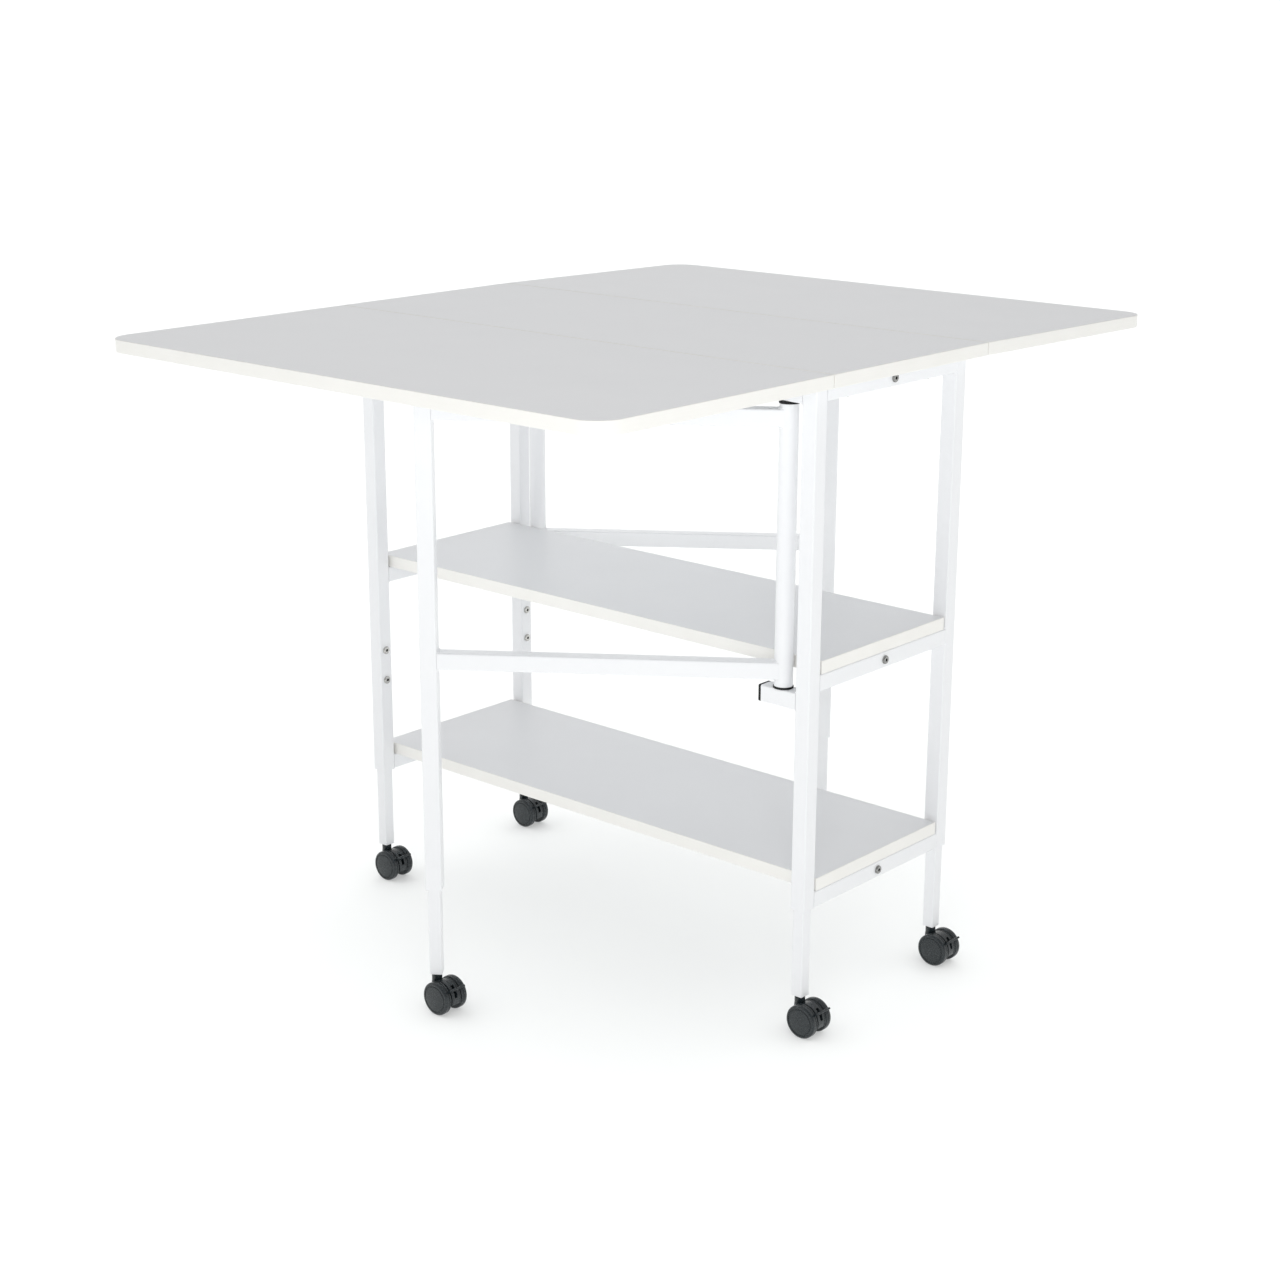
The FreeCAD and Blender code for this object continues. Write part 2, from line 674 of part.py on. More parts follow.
def caster_steel():
    """The stem that stands in the leg's plug, and the axle."""
    stem = hole(STEM_RADIUS, LEG_BOTTOM + STEM_REACH - STEM_BOTTOM, 0, 0, STEM_BOTTOM)
    axle = hole(
        AXLE_RADIUS, 2 * AXLE_HALF_LENGTH, CASTER_TRAIL, -AXLE_HALF_LENGTH, WHEEL_RADIUS, Y_AXIS
    )
    return [stem, axle]


def caster_housing():
    """The hood between the two wheels, with the boss that the stem turns in."""
    hood = hole(
        HOOD_RADIUS, 2 * HOOD_HALF_WIDTH, CASTER_TRAIL, -HOOD_HALF_WIDTH, WHEEL_RADIUS, Y_AXIS
    )
    below = Part.makeBox(
        4 * HOOD_RADIUS, 4 * HOOD_HALF_WIDTH, HOOD_BOTTOM,
        Vector(CASTER_TRAIL - 2 * HOOD_RADIUS, -2 * HOOD_HALF_WIDTH, 0),
    )
    boss = hole(BOSS_RADIUS, BOSS_TOP - BOSS_BOTTOM, 0, 0, BOSS_BOTTOM)
    rim = [e for e in boss.Edges if e.BoundBox.ZMin > BOSS_TOP - TOLERANCE]
    boss = boss.makeFillet(BOSS_ROUNDING, rim)
    stem_hole = hole(STEM_RADIUS + HOLE_CLEARANCE, BOSS_TOP, 0, 0, STEM_BOTTOM)
    axle_hole = hole(
        AXLE_RADIUS + HOLE_CLEARANCE, 4 * HOOD_HALF_WIDTH,
        CASTER_TRAIL, -2 * HOOD_HALF_WIDTH, WHEEL_RADIUS, Y_AXIS,
    )
    slot_bottom, slot_top = BRAKE_SLOT_HEIGHTS
    lever_slot = Part.makeBox(
        2 * HOOD_RADIUS, 2 * BRAKE_SLOT_HALF_WIDTH, slot_top - slot_bottom,
        Vector(
            CASTER_TRAIL + BRAKE_PIVOT[0] - BRAKE_SLOT_BACK,
            -BRAKE_SLOT_HALF_WIDTH,
            WHEEL_RADIUS + slot_bottom,
        ),
    )
    pin_hole = hole(
        BRAKE_PIN_RADIUS + HOLE_CLEARANCE, 4 * HOOD_HALF_WIDTH,
        CASTER_TRAIL + BRAKE_PIVOT[0], -2 * HOOD_HALF_WIDTH, WHEEL_RADIUS + BRAKE_PIVOT[1], Y_AXIS,
    )
    return [hood.cut(below).fuse(boss).cut([stem_hole, axle_hole, lever_slot, pin_hole])]


def caster_wheel():
    """The wheel on the +Y side: a rounded tread and a domed face with a ring groove."""
    outer_face = CASTER_HALF_WIDTH - WHEEL_DOME
    barrel = Part.makeCylinder(
        WHEEL_RADIUS, outer_face - WHEEL_INNER_FACE, Vector(0, WHEEL_INNER_FACE, 0), Y_AXIS
    )
    rims = [e for e in barrel.Edges if e.BoundBox.YLength < TOLERANCE]
    barrel = barrel.makeFillet(TREAD_ROUNDING, rims)
    face_radius = WHEEL_RADIUS - TREAD_ROUNDING
    ball_radius = (face_radius ** 2 + WHEEL_DOME ** 2) / (2 * WHEEL_DOME)
    ball_y = CASTER_HALF_WIDTH - ball_radius
    ball = Part.makeSphere(ball_radius, Vector(0, ball_y, 0))
    face = Part.makeCylinder(
        face_radius, WHEEL_DOME + OVERCUT, Vector(0, outer_face - OVERCUT, 0), Y_AXIS
    ).common(ball)
    groove_y = ball_y + math.sqrt(ball_radius ** 2 - WHEEL_GROOVE_RADIUS ** 2)
    groove = Part.makeTorus(WHEEL_GROOVE_RADIUS, WHEEL_GROOVE, Vector(0, groove_y, 0), Y_AXIS)
    axle_bore = Part.makeCylinder(
        AXLE_RADIUS + AXLE_CLEARANCE, AXLE_HALF_LENGTH - WHEEL_INNER_FACE + AXLE_END_GAP,
        Vector(0, WHEEL_INNER_FACE, 0), Y_AXIS,
    )
    wheel = barrel.fuse(face).cut([groove, axle_bore])
    return moved(wheel, CASTER_TRAIL, 0, WHEEL_RADIUS)


def caster_wheels():
    right = caster_wheel()
    left = right.mirror(Vector(0, 0, 0), Y_AXIS)
    return [left, right]


def brake_pedal():
    """A flat bar across both wheels, standing out from the axle's axis."""
    bar = Part.makeBox(
        PEDAL_FAR - PEDAL_NEAR, 2 * PEDAL_HALF_WIDTH, PEDAL_THICKNESS,
        Vector(PEDAL_NEAR, -PEDAL_HALF_WIDTH, -PEDAL_THICKNESS / 2),
    )
    outer_edges = [
        e for e in bar.Edges
        if e.BoundBox.XMin > PEDAL_FAR - TOLERANCE and e.BoundBox.YLength > PEDAL_HALF_WIDTH
    ]
    return turned(bar.makeFillet(PEDAL_ROUNDING, outer_edges), -PEDAL_ANGLE, axis=Y_AXIS)


def caster_brake():
    """The foot pedal, its arm through the hood's slot, and its hinge pin."""
    pivot_x, pivot_z = BRAKE_PIVOT
    pedal_middle = (PEDAL_NEAR + PEDAL_FAR) / 2
    end_x = pedal_middle * math.cos(math.radians(PEDAL_ANGLE))
    end_z = pedal_middle * math.sin(math.radians(PEDAL_ANGLE))
    slope = math.degrees(math.atan2(end_z - pivot_z, end_x - pivot_x))
    arm = Part.makeBox(
        math.hypot(end_x - pivot_x, end_z - pivot_z), 2 * BRAKE_ARM_HALF_WIDTH, BRAKE_ARM_THICKNESS,
        Vector(0, -BRAKE_ARM_HALF_WIDTH, -BRAKE_ARM_THICKNESS / 2),
    )
    arm = moved(turned(arm, -slope, axis=Y_AXIS), pivot_x, 0, pivot_z)
    hub = hole(
        BRAKE_HUB_RADIUS, 2 * BRAKE_ARM_HALF_WIDTH, pivot_x, -BRAKE_ARM_HALF_WIDTH, pivot_z, Y_AXIS
    )
    pin_half = HOOD_HALF_WIDTH - BRAKE_PIN_END_GAP
    pin = hole(BRAKE_PIN_RADIUS, 2 * pin_half, pivot_x, -pin_half, pivot_z, Y_AXIS)
    lever = brake_pedal().fuse([arm, hub, pin])
    return [moved(lever, CASTER_TRAIL, 0, WHEEL_RADIUS)]


# ---- putting the table together ---------------------------------------------

def export(name, solids):
    """Writes one node. Every solid in it must be valid and closed."""
    pieces = []
    for shape in solids:
        pieces += shape.Solids
    for piece in pieces:
        if not piece.isValid() or piece.Volume <= 0:
            raise ValueError("bad solid in " + name)
    node = pieces[0] if len(pieces) == 1 else Part.makeCompound(pieces)
    node.exportStep(os.path.join("parts", name + ".step"))


def frame_nodes():
    front_stop = leaf_stop()
    nodes = {
        "centre_panel": [centre_panel()],
        "front_leaf": [level_leaf()],
        "back_leaf": [sagged(half_turn(level_leaf()))],
        "upper_shelf": [shelf(UPPER_SHELF_TOP)],
        "lower_shelf": [shelf(LOWER_SHELF_TOP)],
        "front_left_upright": [upright(-UPRIGHT_X, -UPRIGHT_Y)],
        "front_right_upright": [upright(UPRIGHT_X, -UPRIGHT_Y)],
        "back_left_upright": [upright(-UPRIGHT_X, UPRIGHT_Y)],
        "back_right_upright": [upright(UPRIGHT_X, UPRIGHT_Y)],
        "end_rails": end_rails(),
        "stretchers": stretchers(),
        "rail_bolts": rail_bolts(),
        "upright_lock_screws": upright_lock_screws(),
        "frame_plastic_caps": frame_plastic_caps(),
        "wood_screws": wood_screws(),
        "gate_stubs": gate_stubs(),
        "gate_pivot_pins": gate_pivot_pins(),
        "hinge_plates": hinge_plates(),
        "hinge_pins": hinge_pins(),
        "leaf_stops": [front_stop, sagged(half_turn(front_stop))],
    }
    return nodes


def gate_nodes():
    nodes = {}
    for name, rest_top in (("front", FRONT_REST_TOP), ("back", BACK_REST_TOP)):
        gate = {
            "post": gate_post(),
            "rails": gate_rails(),
            "leg_tube": gate_leg_tube(),
            "plastic_caps": gate_plastic_caps(rest_top),
            "lock_screws": gate_lock_screws(),
        }
        for piece, solids in gate.items():
            swung = [opened(solid) for solid in solids]
            if name == "back":
                swung = [half_turn(solid) for solid in swung]
            nodes[name + "_gate_" + piece] = swung
    return nodes


def leg_places():
    """Each leg's name, its place, and how far its square tube is turned, in degrees."""
    angle = math.radians(GATE_OPEN_ANGLE)
    gate_x = GATE_PIVOT_X - GATE_LENGTH * math.cos(angle)
    gate_y = -UPRIGHT_Y - GATE_LENGTH * math.sin(angle)
    return {
        "front_left": (-UPRIGHT_X, -UPRIGHT_Y, 0.0),
        "front_right": (UPRIGHT_X, -UPRIGHT_Y, 0.0),
        "back_left": (-UPRIGHT_X, UPRIGHT_Y, 0.0),
        "back_right": (UPRIGHT_X, UPRIGHT_Y, 0.0),
        "front_gate": (gate_x, gate_y, GATE_OPEN_ANGLE),
        "back_gate": (-gate_x, -gate_y, GATE_OPEN_ANGLE),
    }


def leg_nodes():
    leg_pieces = inner_leg()
    caster = {
        "caster_steel": caster_steel(),
        "caster_housing": caster_housing(),
        "caster_wheels": caster_wheels(),
        "caster_brake": caster_brake(),
    }
    nodes = {}
    for name, (x, y, leg_turn) in leg_places().items():
        nodes[name + "_inner_leg"] = [moved(turned(piece, leg_turn), x, y) for piece in leg_pieces]
        for part, solids in caster.items():
            nodes[name + "_" + part] = [moved(solid, x, y) for solid in solids]
    return nodes


def main():
    os.makedirs("parts", exist_ok=True)
    nodes = {**frame_nodes(), **gate_nodes(), **leg_nodes()}
    for name, solids in nodes.items():
        export(name, solids)
    print(len(nodes), "nodes")


main()
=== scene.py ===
import bmesh
import bpy
import math
from mathutils import Matrix, Vector


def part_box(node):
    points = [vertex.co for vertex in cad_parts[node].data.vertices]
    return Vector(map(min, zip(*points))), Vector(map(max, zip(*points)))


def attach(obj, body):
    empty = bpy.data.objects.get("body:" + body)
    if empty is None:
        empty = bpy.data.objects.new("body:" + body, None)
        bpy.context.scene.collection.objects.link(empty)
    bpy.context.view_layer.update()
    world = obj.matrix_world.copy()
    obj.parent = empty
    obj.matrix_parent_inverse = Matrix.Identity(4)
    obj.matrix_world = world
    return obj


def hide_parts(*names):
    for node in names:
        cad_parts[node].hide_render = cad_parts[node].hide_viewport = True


# Drop-leaf sewing table on casters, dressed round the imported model.
# Sizes in this script are millimetres until a mesh is written, in metres.

MM = 0.001
SHARP_ABOVE = 38.0            # an edge that turns by more degrees than this is hard
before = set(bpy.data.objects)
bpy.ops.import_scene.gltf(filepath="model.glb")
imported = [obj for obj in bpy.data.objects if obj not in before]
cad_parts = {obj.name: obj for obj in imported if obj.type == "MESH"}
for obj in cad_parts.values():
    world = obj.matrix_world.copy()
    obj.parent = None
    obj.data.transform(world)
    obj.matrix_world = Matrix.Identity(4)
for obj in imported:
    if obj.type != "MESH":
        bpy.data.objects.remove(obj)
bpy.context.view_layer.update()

# ---- boards ----
BANDING = 1.0                 # thickness of the edge strip
BANDING_EASE = 0.9            # rounding of the strip's outer edges
BANDING_SINK = 0.12           # width of the fine joint between strip and face
LEAF_CORNER = 40.0
SQUARE_CORNER = 1.0
LEAF_CORNERS = (SQUARE_CORNER, SQUARE_CORNER, LEAF_CORNER, LEAF_CORNER)
BACK_LEAF_SAG = 0.9           # degrees about the hinge line
HINGE_DROP = 2.75             # hinge line below the boards' undersides
BOARD_CORNER_STEPS = 16
LEAST_CORNER = 0.05           # no corner of an outline is sharper than this

# ---- tubes ----
TUBE = 23.0
TUBE_CORNER = 2.0
TUBE_WALL = 1.5
INNER_TUBE = 17.4
INNER_CORNER = 1.5
INNER_WALL = 1.2
PLUG_FLANGE = 2.0
FLANGE_EASE = 0.5             # rounding of the plug's rims
CUT_EDGE = 0.25               # rounding of a tube's cut ends
SADDLE_SIDE_STEPS = 8         # along each side of a tube that is scooped for the post
POST_RADIUS = 12.7
ROUND_STEPS = 64              # round the post and its caps

# ---- weld beads ----
WELD = 2.2                    # width on each of the two faces
WELD_ROOT = 0.4               # how far a bead reaches inside both faces
WELD_END = 0.55               # size of a bead's ends, as a share of its own
WELD_FLATTENING = 0.14        # share by which its front is flatter than a quarter circle
WELD_FRONT_STEPS = 4
RIPPLE_PITCH = 1.7
RIPPLE_DEPTH = 0.07           # as a share of the bead's size
STATIONS_PER_RIPPLE = 4
LEAST_STATIONS = 8
WRAP_STATIONS = 48            # along a bead that follows the post

# ---- gate arms and caps ----
STUB_CAP = 4.0
STUB_END_X = 345.0
CAP_EASE = 0.4
CAP_PLUG = 10.0
CAP_OVERLAP = 0.2             # how far the plug runs into its cap
PLUG_CORNER = 0.5
PLUG_EASE = 0.3
CAP_BORE = 5.05
POST_FLANGE_RADIUS = 13.7
POST_PLUG = 12.0
FACE_RIM = (0.5, 0.15)        # a rounded rim: its reach, and how far in its middle point is
SEAT_RIM = (0.4, 0.12)
REST_FLANGE = 3.0
REST_PLUG = 12.0
REST_OVERLAP = 0.1            # how far the plug and the pad run into the flange
REST_PAD = 8.0
REST_FLARE = 0.6              # the pad's flared foot, outwards and upwards
REST_FLARE_MIDDLE = (0.15, 0.25)
REST_ROUNDING = 0.8
REST_FLAT = 3.0               # radius at which the pad's top is closed by a flat face
REST_STEPS = 48
SLEEVE_LENGTH = 30.0
SLEEVE_CLEARANCE = 0.15
FIT = 0.05
PLUG = TUBE - 2 * TUBE_WALL - 2 * FIT   # width of what fits inside a square tube

# ---- fasteners ----
SHANK_RADIUS = 3.0
HEAD_RADIUS = 6.0
HEAD_HEIGHT = 3.0
HEAD_ROUNDING = 1.8
HEAD_FOOT = 0.25              # bevel where the head meets its seat
HEAD_STEPS = 48
SOCKET = 2.0                  # half the hexagon's width across flats
SOCKET_DEPTH = 2.0
SOCKET_LAND = 0.3             # from the hexagon's corners to the head's flat
SOCKET_BEVEL = 0.25
BOLT_SHANK = 5.0
BOLT_TURN = 13.0              # degrees, so that no two sockets stand alike
LOCK_SCREW_SHANK = 2.0
LOCK_SCREW_TURN = 20.0
LOCK_SCREW_HEIGHTS = (328.0, 376.0)

# ---- casters ----
WHEEL_RADIUS = 23.6
WHEEL_INNER_FACE = 9.6
WHEEL_OUTER_FACE = 21.7
WHEEL_DOME = 1.5
WHEEL_SHOULDER = 3.0
WHEEL_SHOULDER_SPAN = (5, 84)           # degrees of the shoulder's arc
WHEEL_SHOULDER_GAP = 0.4                # from the tread to the shoulder's first point
WHEEL_BORE = 2.0
WHEEL_RECESS = 0.8                      # depth of the hollow in the inner face
WHEEL_RECESS_RADII = (17.0, 18.0)       # where its slope starts and ends
WHEEL_INNER_ROUNDING = 2.4
TREAD_LINE = (3.3, 3.5, 4.1, 4.3)       # its edges and floor, from the inner face
TREAD_LINE_DEPTH = 0.6
WHEEL_GROOVE_RADIUS = 18.6
WHEEL_GROOVE = 1.0
GROOVE_SHAPE = ((1.0, 0.0), (0.6, 0.8), (0.0, 1.0), (-0.6, 0.8), (-1.0, 0.0))
DOME_RADII = (16.0, 13.0, 10.0, 7.0, 4.0, 1.2)
WHEEL_STEPS = 72
CASTER_TRAIL = 15.6
HOOD_RADIUS = 22.8
HOOD_HALF_WIDTH = 8.2
HOOD_BOTTOM = 15.5
HOOD_LIP = 1.3
HOOD_RIM = (0.6, 0.18)
HOOD_HUB = 2.0                          # radius at which its sides are closed
HOOD_BAND = (0.6, 0.3)                  # depth and slope of the band between the lips
HOOD_STEPS = 96
HOOD_CUTTER = 60.0                      # the block that cuts the hood's foot flat
COLLAR_BOTTOM = 30.0
COLLAR_SHOULDER = 38.0
COLLAR_TOP = 42.0
COLLAR_INSIDE = 5.0
COLLAR_STEP = 0.2
COLLAR_STEPS = 48
BOSS_RADIUS = 7.2
BOSS_FOOT = 43.5
BOSS_TOP = 51.0
BOSS_ROUNDING = 0.9
STEM_BORE = 4.05
STEM_BORE_DEPTH = 4.0
BRAKE_SLOT_HALF_WIDTH = 2.5
BRAKE_SLOT_HEIGHTS = (2.5, 18.0)
BRAKE_SLOT_START = 5.2                  # behind the axle
BRAKE_SLOT_LENGTH = 24.0
BRAKE_SLOT_CORNER = 0.6
BRAKE_PIVOT = (9.2, 7.7)                # behind and above the axle
BRAKE_PIN = (1.5, 7.9, 0.2)             # radius, half length, rounding
PIN_STEPS = 24
HUB_STEPS = 32
BRAKE_ARM_THICKNESS = 5.5
BRAKE_ARM_HALF_WIDTH = 2.0
BRAKE_HUB = (3.0, BRAKE_ARM_HALF_WIDTH, 0.3)
BRAKE_ARM_CORNER = 0.8
BRAKE_ARM_EASE = 0.4
PEDAL_ANGLE = 35.0
PEDAL_NEAR = 24.7
PEDAL_FAR = 31.7
PEDAL_THICKNESS = 3.0
PEDAL_HALF_WIDTH = 13.5
PEDAL_CORNER = 0.9
PEDAL_EASE = 0.8
RIBS = 3
RIB_START = 1.8                         # from the pedal's near edge
RIB_PITCH = 1.7
RIB_WIDTH = 0.8
RIB_HEIGHT = 0.5
RIB_SINK = 0.2
RIB_MARGIN = 3.0                        # how much shorter a rib is than the pedal
RIB_CORNER = 0.35
RIB_EASE = 0.25
CUTTER_EASE = 0.1
CUTTER_CORNER = 1.0

LEGS = ("front_left", "front_right", "back_left", "back_right", "front_gate", "back_gate")

# ---- colours: first and second base colour, then the colour laid over them ----
MELAMINE_COLOURS = ((0.800, 0.808, 0.823), (0.810, 0.818, 0.832), (0.764, 0.772, 0.786))
BANDING_COLOURS = ((0.880, 0.870, 0.836), (0.902, 0.892, 0.862), (0.860, 0.850, 0.815))
COAT_COLOURS = ((0.850, 0.857, 0.873), (0.860, 0.866, 0.881), (0.841, 0.848, 0.863))
NYLON_COLOURS = ((0.010, 0.015, 0.018), (0.014, 0.020, 0.023), (0.026, 0.032, 0.035))
STEEL_COLOURS = ((0.46, 0.455, 0.43), (0.62, 0.615, 0.60))
ZINC_COLOURS = ((0.24, 0.24, 0.235), (0.36, 0.36, 0.35))
BLACK_COLOURS = ((0.009, 0.009, 0.010), (0.014, 0.014, 0.015))

# ---- camera, light and floor: places in metres, angles in degrees ----
CAMERA_PLACE = (2.072161, -2.370520, 1.369454)
CAMERA_ANGLES = (41.641, 16.133, 0.113)       # azimuth, downward tilt and roll
CAMERA_LENS = 62.538
CAMERA_SHIFT = (0.00812, -0.01072)
CAMERA_FAR = 200.0
WALLS = 0.46                  # brightness of the surroundings above the sweep
WALL_BEHIND = 0.36            # what is added to it behind the table
WALL_LEFT = 0.42              # and on its left
WALL_SPAN = (0.0, 0.8)
SWEEP_SPAN = (0.10, 0.22)     # the sweep's upper edge, as a slope
KEY_PLACE = (1.75, -1.95, 1.1)
KEY_AIM = (0.0, 0.0, 0.5)
KEY_POWER = 13.5
KEY_SIZE = 1.0
FLOOR_HALF = 60.0
FLOOR_COLOUR = (0.50, 0.51, 0.505, 1.0)
FLOOR_GLOW = 0.35
WASH_STRENGTH = 2.7
WASH_SPREAD = 120


# ---- shells: closed surfaces from rings of points ----------------------------

class Skin:
    """The closed shells of one piece, gathered before they become a mesh."""

    def __init__(self):
        self.points = []
        self.faces = []
        self.finishes = []

    def add_face(self, corners, finish):
        self.faces.append(corners)
        self.finishes.append(finish)

    def add_shell(self, rings, place=None, looped=False, finish=0, cap_finish=None):
        """Joins rings of equal length in order; the two ends are capped or joined."""
        place = place or Matrix.Identity(4)
        cap_finish = finish if cap_finish is None else cap_finish
        first = len(self.points)
        count = len(rings[0])
        for ring in rings:
            self.points += [place @ Vector(point) for point in ring]
        last = len(rings)
        pairs = [(k, (k + 1) % last) for k in range(last if looped else last - 1)]
        for low, high in pairs:
            for k in range(count):
                following = (k + 1) % count
                corners = [
                    first + low * count + k, first + low * count + following,
                    first + high * count + following, first + high * count + k,
                ]
                self.add_face(corners, finish)
        if not looped:
            self.add_face([first + k for k in range(count)], cap_finish)
            self.add_face([first + (last - 1) * count + k for k in range(count)], cap_finish)


def outline(size_x, size_y, radii, inset=0.0, corner_steps=4, side_steps=1):
    """A rectangle's outline with its own radius at each corner, drawn in by inset."""
    signs = ((1, 1), (-1, 1), (-1, -1), (1, -1))
    corners = []
    for (sign_x, sign_y), radius, quarter in zip(signs, radii, range(4)):
        small = max(radius - inset, LEAST_CORNER)
        centre_x = sign_x * (size_x / 2 - inset - small)
        centre_y = sign_y * (size_y / 2 - inset - small)
        for step in range(corner_steps + 1):
            angle = math.radians(90 * (quarter + step / corner_steps))
            corners.append((centre_x + small * math.cos(angle), centre_y + small * math.sin(angle)))
    if side_steps == 1:
        return corners
    points = []
    per_corner = corner_steps + 1
    for k, point in enumerate(corners):
        points.append(point)
        if k % per_corner == per_corner - 1:
            following = corners[(k + 1) % len(corners)]
            for step in range(1, side_steps):
                share = step / side_steps
                points.append((
                    point[0] + (following[0] - point[0]) * share,
                    point[1] + (following[1] - point[1]) * share,
                ))
    return points


def level(points, z):
    return [(x, y, z) for x, y in points]


def eased_levels(length, radius, steps=3):
    """Heights and insets of a bar whose two ends have rounded rims."""
    rise = []
    for step in range(steps + 1):
        angle = math.radians(90 * step / steps)
        rise.append((radius * (1 - math.cos(angle)), radius * (1 - math.sin(angle))))
    return rise + [(length - z, inset) for z, inset in reversed(rise)]


def add_block(skin, size_x, size_y, length, corner, ease, place):
    """A solid bar along local Z with rounded long edges and rims."""
    rings = [
        level(outline(size_x, size_y, (corner,) * 4, inset), z)
        for z, inset in eased_levels(length, ease)
    ]
    skin.add_shell(rings, place)


def add_tube(skin, size, corner, wall, length, place, saddle=0.0):
    """An open square tube along local Z. A saddle scoops its far end for a round post."""
    levels = [(0.0, wall)]
    levels += [(z, inset) for z, inset in eased_levels(length, CUT_EDGE, 2)]
    levels += [(length, wall)]
    side_steps = SADDLE_SIDE_STEPS if saddle else 1
    rings = []
    for z, inset in levels:
        points = outline(size, size, (corner,) * 4, inset, side_steps=side_steps)
        if saddle and z > length / 2:
            depth = [math.sqrt(saddle ** 2 - y ** 2) for x, y in points]
            rings.append([(x, y, z - d) for (x, y), d in zip(points, depth)])
        else:
            rings.append(level(points, z))
    skin.add_shell(rings, place, looped=True)


def circle(radius, z, steps):
    turn = 2 * math.pi / steps
    return [(radius * math.cos(turn * k), radius * math.sin(turn * k), z) for k in range(steps)]


def add_lathe(skin, profile, place, steps, looped=False):
    """A turned shell about local Z from (radius, height) pairs."""
    rings = [circle(radius, z, steps) for radius, z in profile]
    skin.add_shell(rings, place, looped=looped)


def arc_profile(centre_r, centre_z, radius, start, end, steps):
    """Points of an arc in a lathe profile, between two angles in degrees."""
    points = []
    for step in range(steps + 1):
        angle = math.radians(start + (end - start) * step / steps)
        points.append((centre_r + radius * math.cos(angle), centre_z + radius * math.sin(angle)))
    return points


def rounded_rim(radius, height, rim, rising=1):
    """Three points of a lathe profile from a flat face round its outer edge."""
    reach, middle = rim
    return [
        (radius - reach, height),
        (radius - middle, height + rising * middle),
        (radius, height + rising * reach),
    ]


def pin_profile(radius, half_length, ease):
    return [
        (radius - ease, -half_length),
        (radius, -half_length + ease),
        (radius, half_length - ease),
        (radius - ease, half_length),
    ]


def add_bead(skin, stations, place=None):
    """A rippled weld along stations of (point, one face's direction, other face's)."""
    rings = []
    travelled = 0.0
    for k, (point, along_a, along_b) in enumerate(stations):
        if k:
            travelled += (point - stations[k - 1][0]).length
        ripple = math.sin(2 * math.pi * travelled / RIPPLE_PITCH)
        grown = WELD * (1 + RIPPLE_DEPTH * ripple)
        if k in (0, len(stations) - 1):
            grown *= WELD_END
        root_a = WELD_ROOT * along_a
        root_b = WELD_ROOT * along_b
        ring = [point - root_a - root_b, point + grown * along_a - root_b]
        for step in range(WELD_FRONT_STEPS + 1):
            angle = math.radians(90 * step / WELD_FRONT_STEPS)
            bulge = grown * (1 - WELD_FLATTENING * math.sin(2 * angle))
            ring.append(point + bulge * (math.cos(angle) * along_a + math.sin(angle) * along_b))
        ring.append(point - root_a + grown * along_b)
        rings.append(ring)
    skin.add_shell(rings, place)


def straight_stations(start, end, along_a, along_b):
    ripples = (end - start).length / RIPPLE_PITCH
    count = max(LEAST_STATIONS, int(ripples * STATIONS_PER_RIPPLE))
    return [(start.lerp(end, k / count), along_a, along_b) for k in range(count + 1)]


# ---- places -----------------------------------------------------------------

def node_box(node):
    low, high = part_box(node)
    return low / MM, high / MM


def node_centre(node):
    low, high = node_box(node)
    return (low + high) / 2


def at(x, y, z):
    return Matrix.Translation((x, y, z))


def turn(degrees, axis="Z"):
    return Matrix.Rotation(math.radians(degrees), 4, axis)


HALF_TURN = turn(180)
ALONG_X = turn(90, "Y")           # local Z laid along +X
ALONG_Y = turn(-90, "X")          # local Z laid along +Y


# ---- pieces -----------------------------------------------------------------

def new_object(name, data):
    made = bpy.data.objects.new(name, data)
    bpy.context.scene.collection.objects.link(made)
    return made


def closed_mesh(name, skin):
    """The skin's shells as a mesh in metres, with every face turned outwards."""
    mesh = bpy.data.meshes.new(name)
    mesh.from_pydata([point * MM for point in skin.points], [], skin.faces)
    shape = bmesh.new()
    shape.from_mesh(mesh)
    bmesh.ops.recalc_face_normals(shape, faces=shape.faces)
    shape.to_mesh(mesh)
    shape.free()
    return mesh


def make_piece(name, body, skin, materials, replaced=()):
    mesh = closed_mesh(name, skin)
    mesh.polygons.foreach_set("material_index", skin.finishes)
    for material in materials:
        mesh.materials.append(material)
    mesh.shade_smooth()
    mesh.set_sharp_from_angle(angle=math.radians(SHARP_ABOVE))
    piece = new_object(name, mesh)
    even = piece.modifiers.new("even_shading", "WEIGHTED_NORMAL")
    even.keep_sharp = True
    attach(piece, body)
    if replaced:
        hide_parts(*replaced)


# ---- materials --------------------------------------------------------------

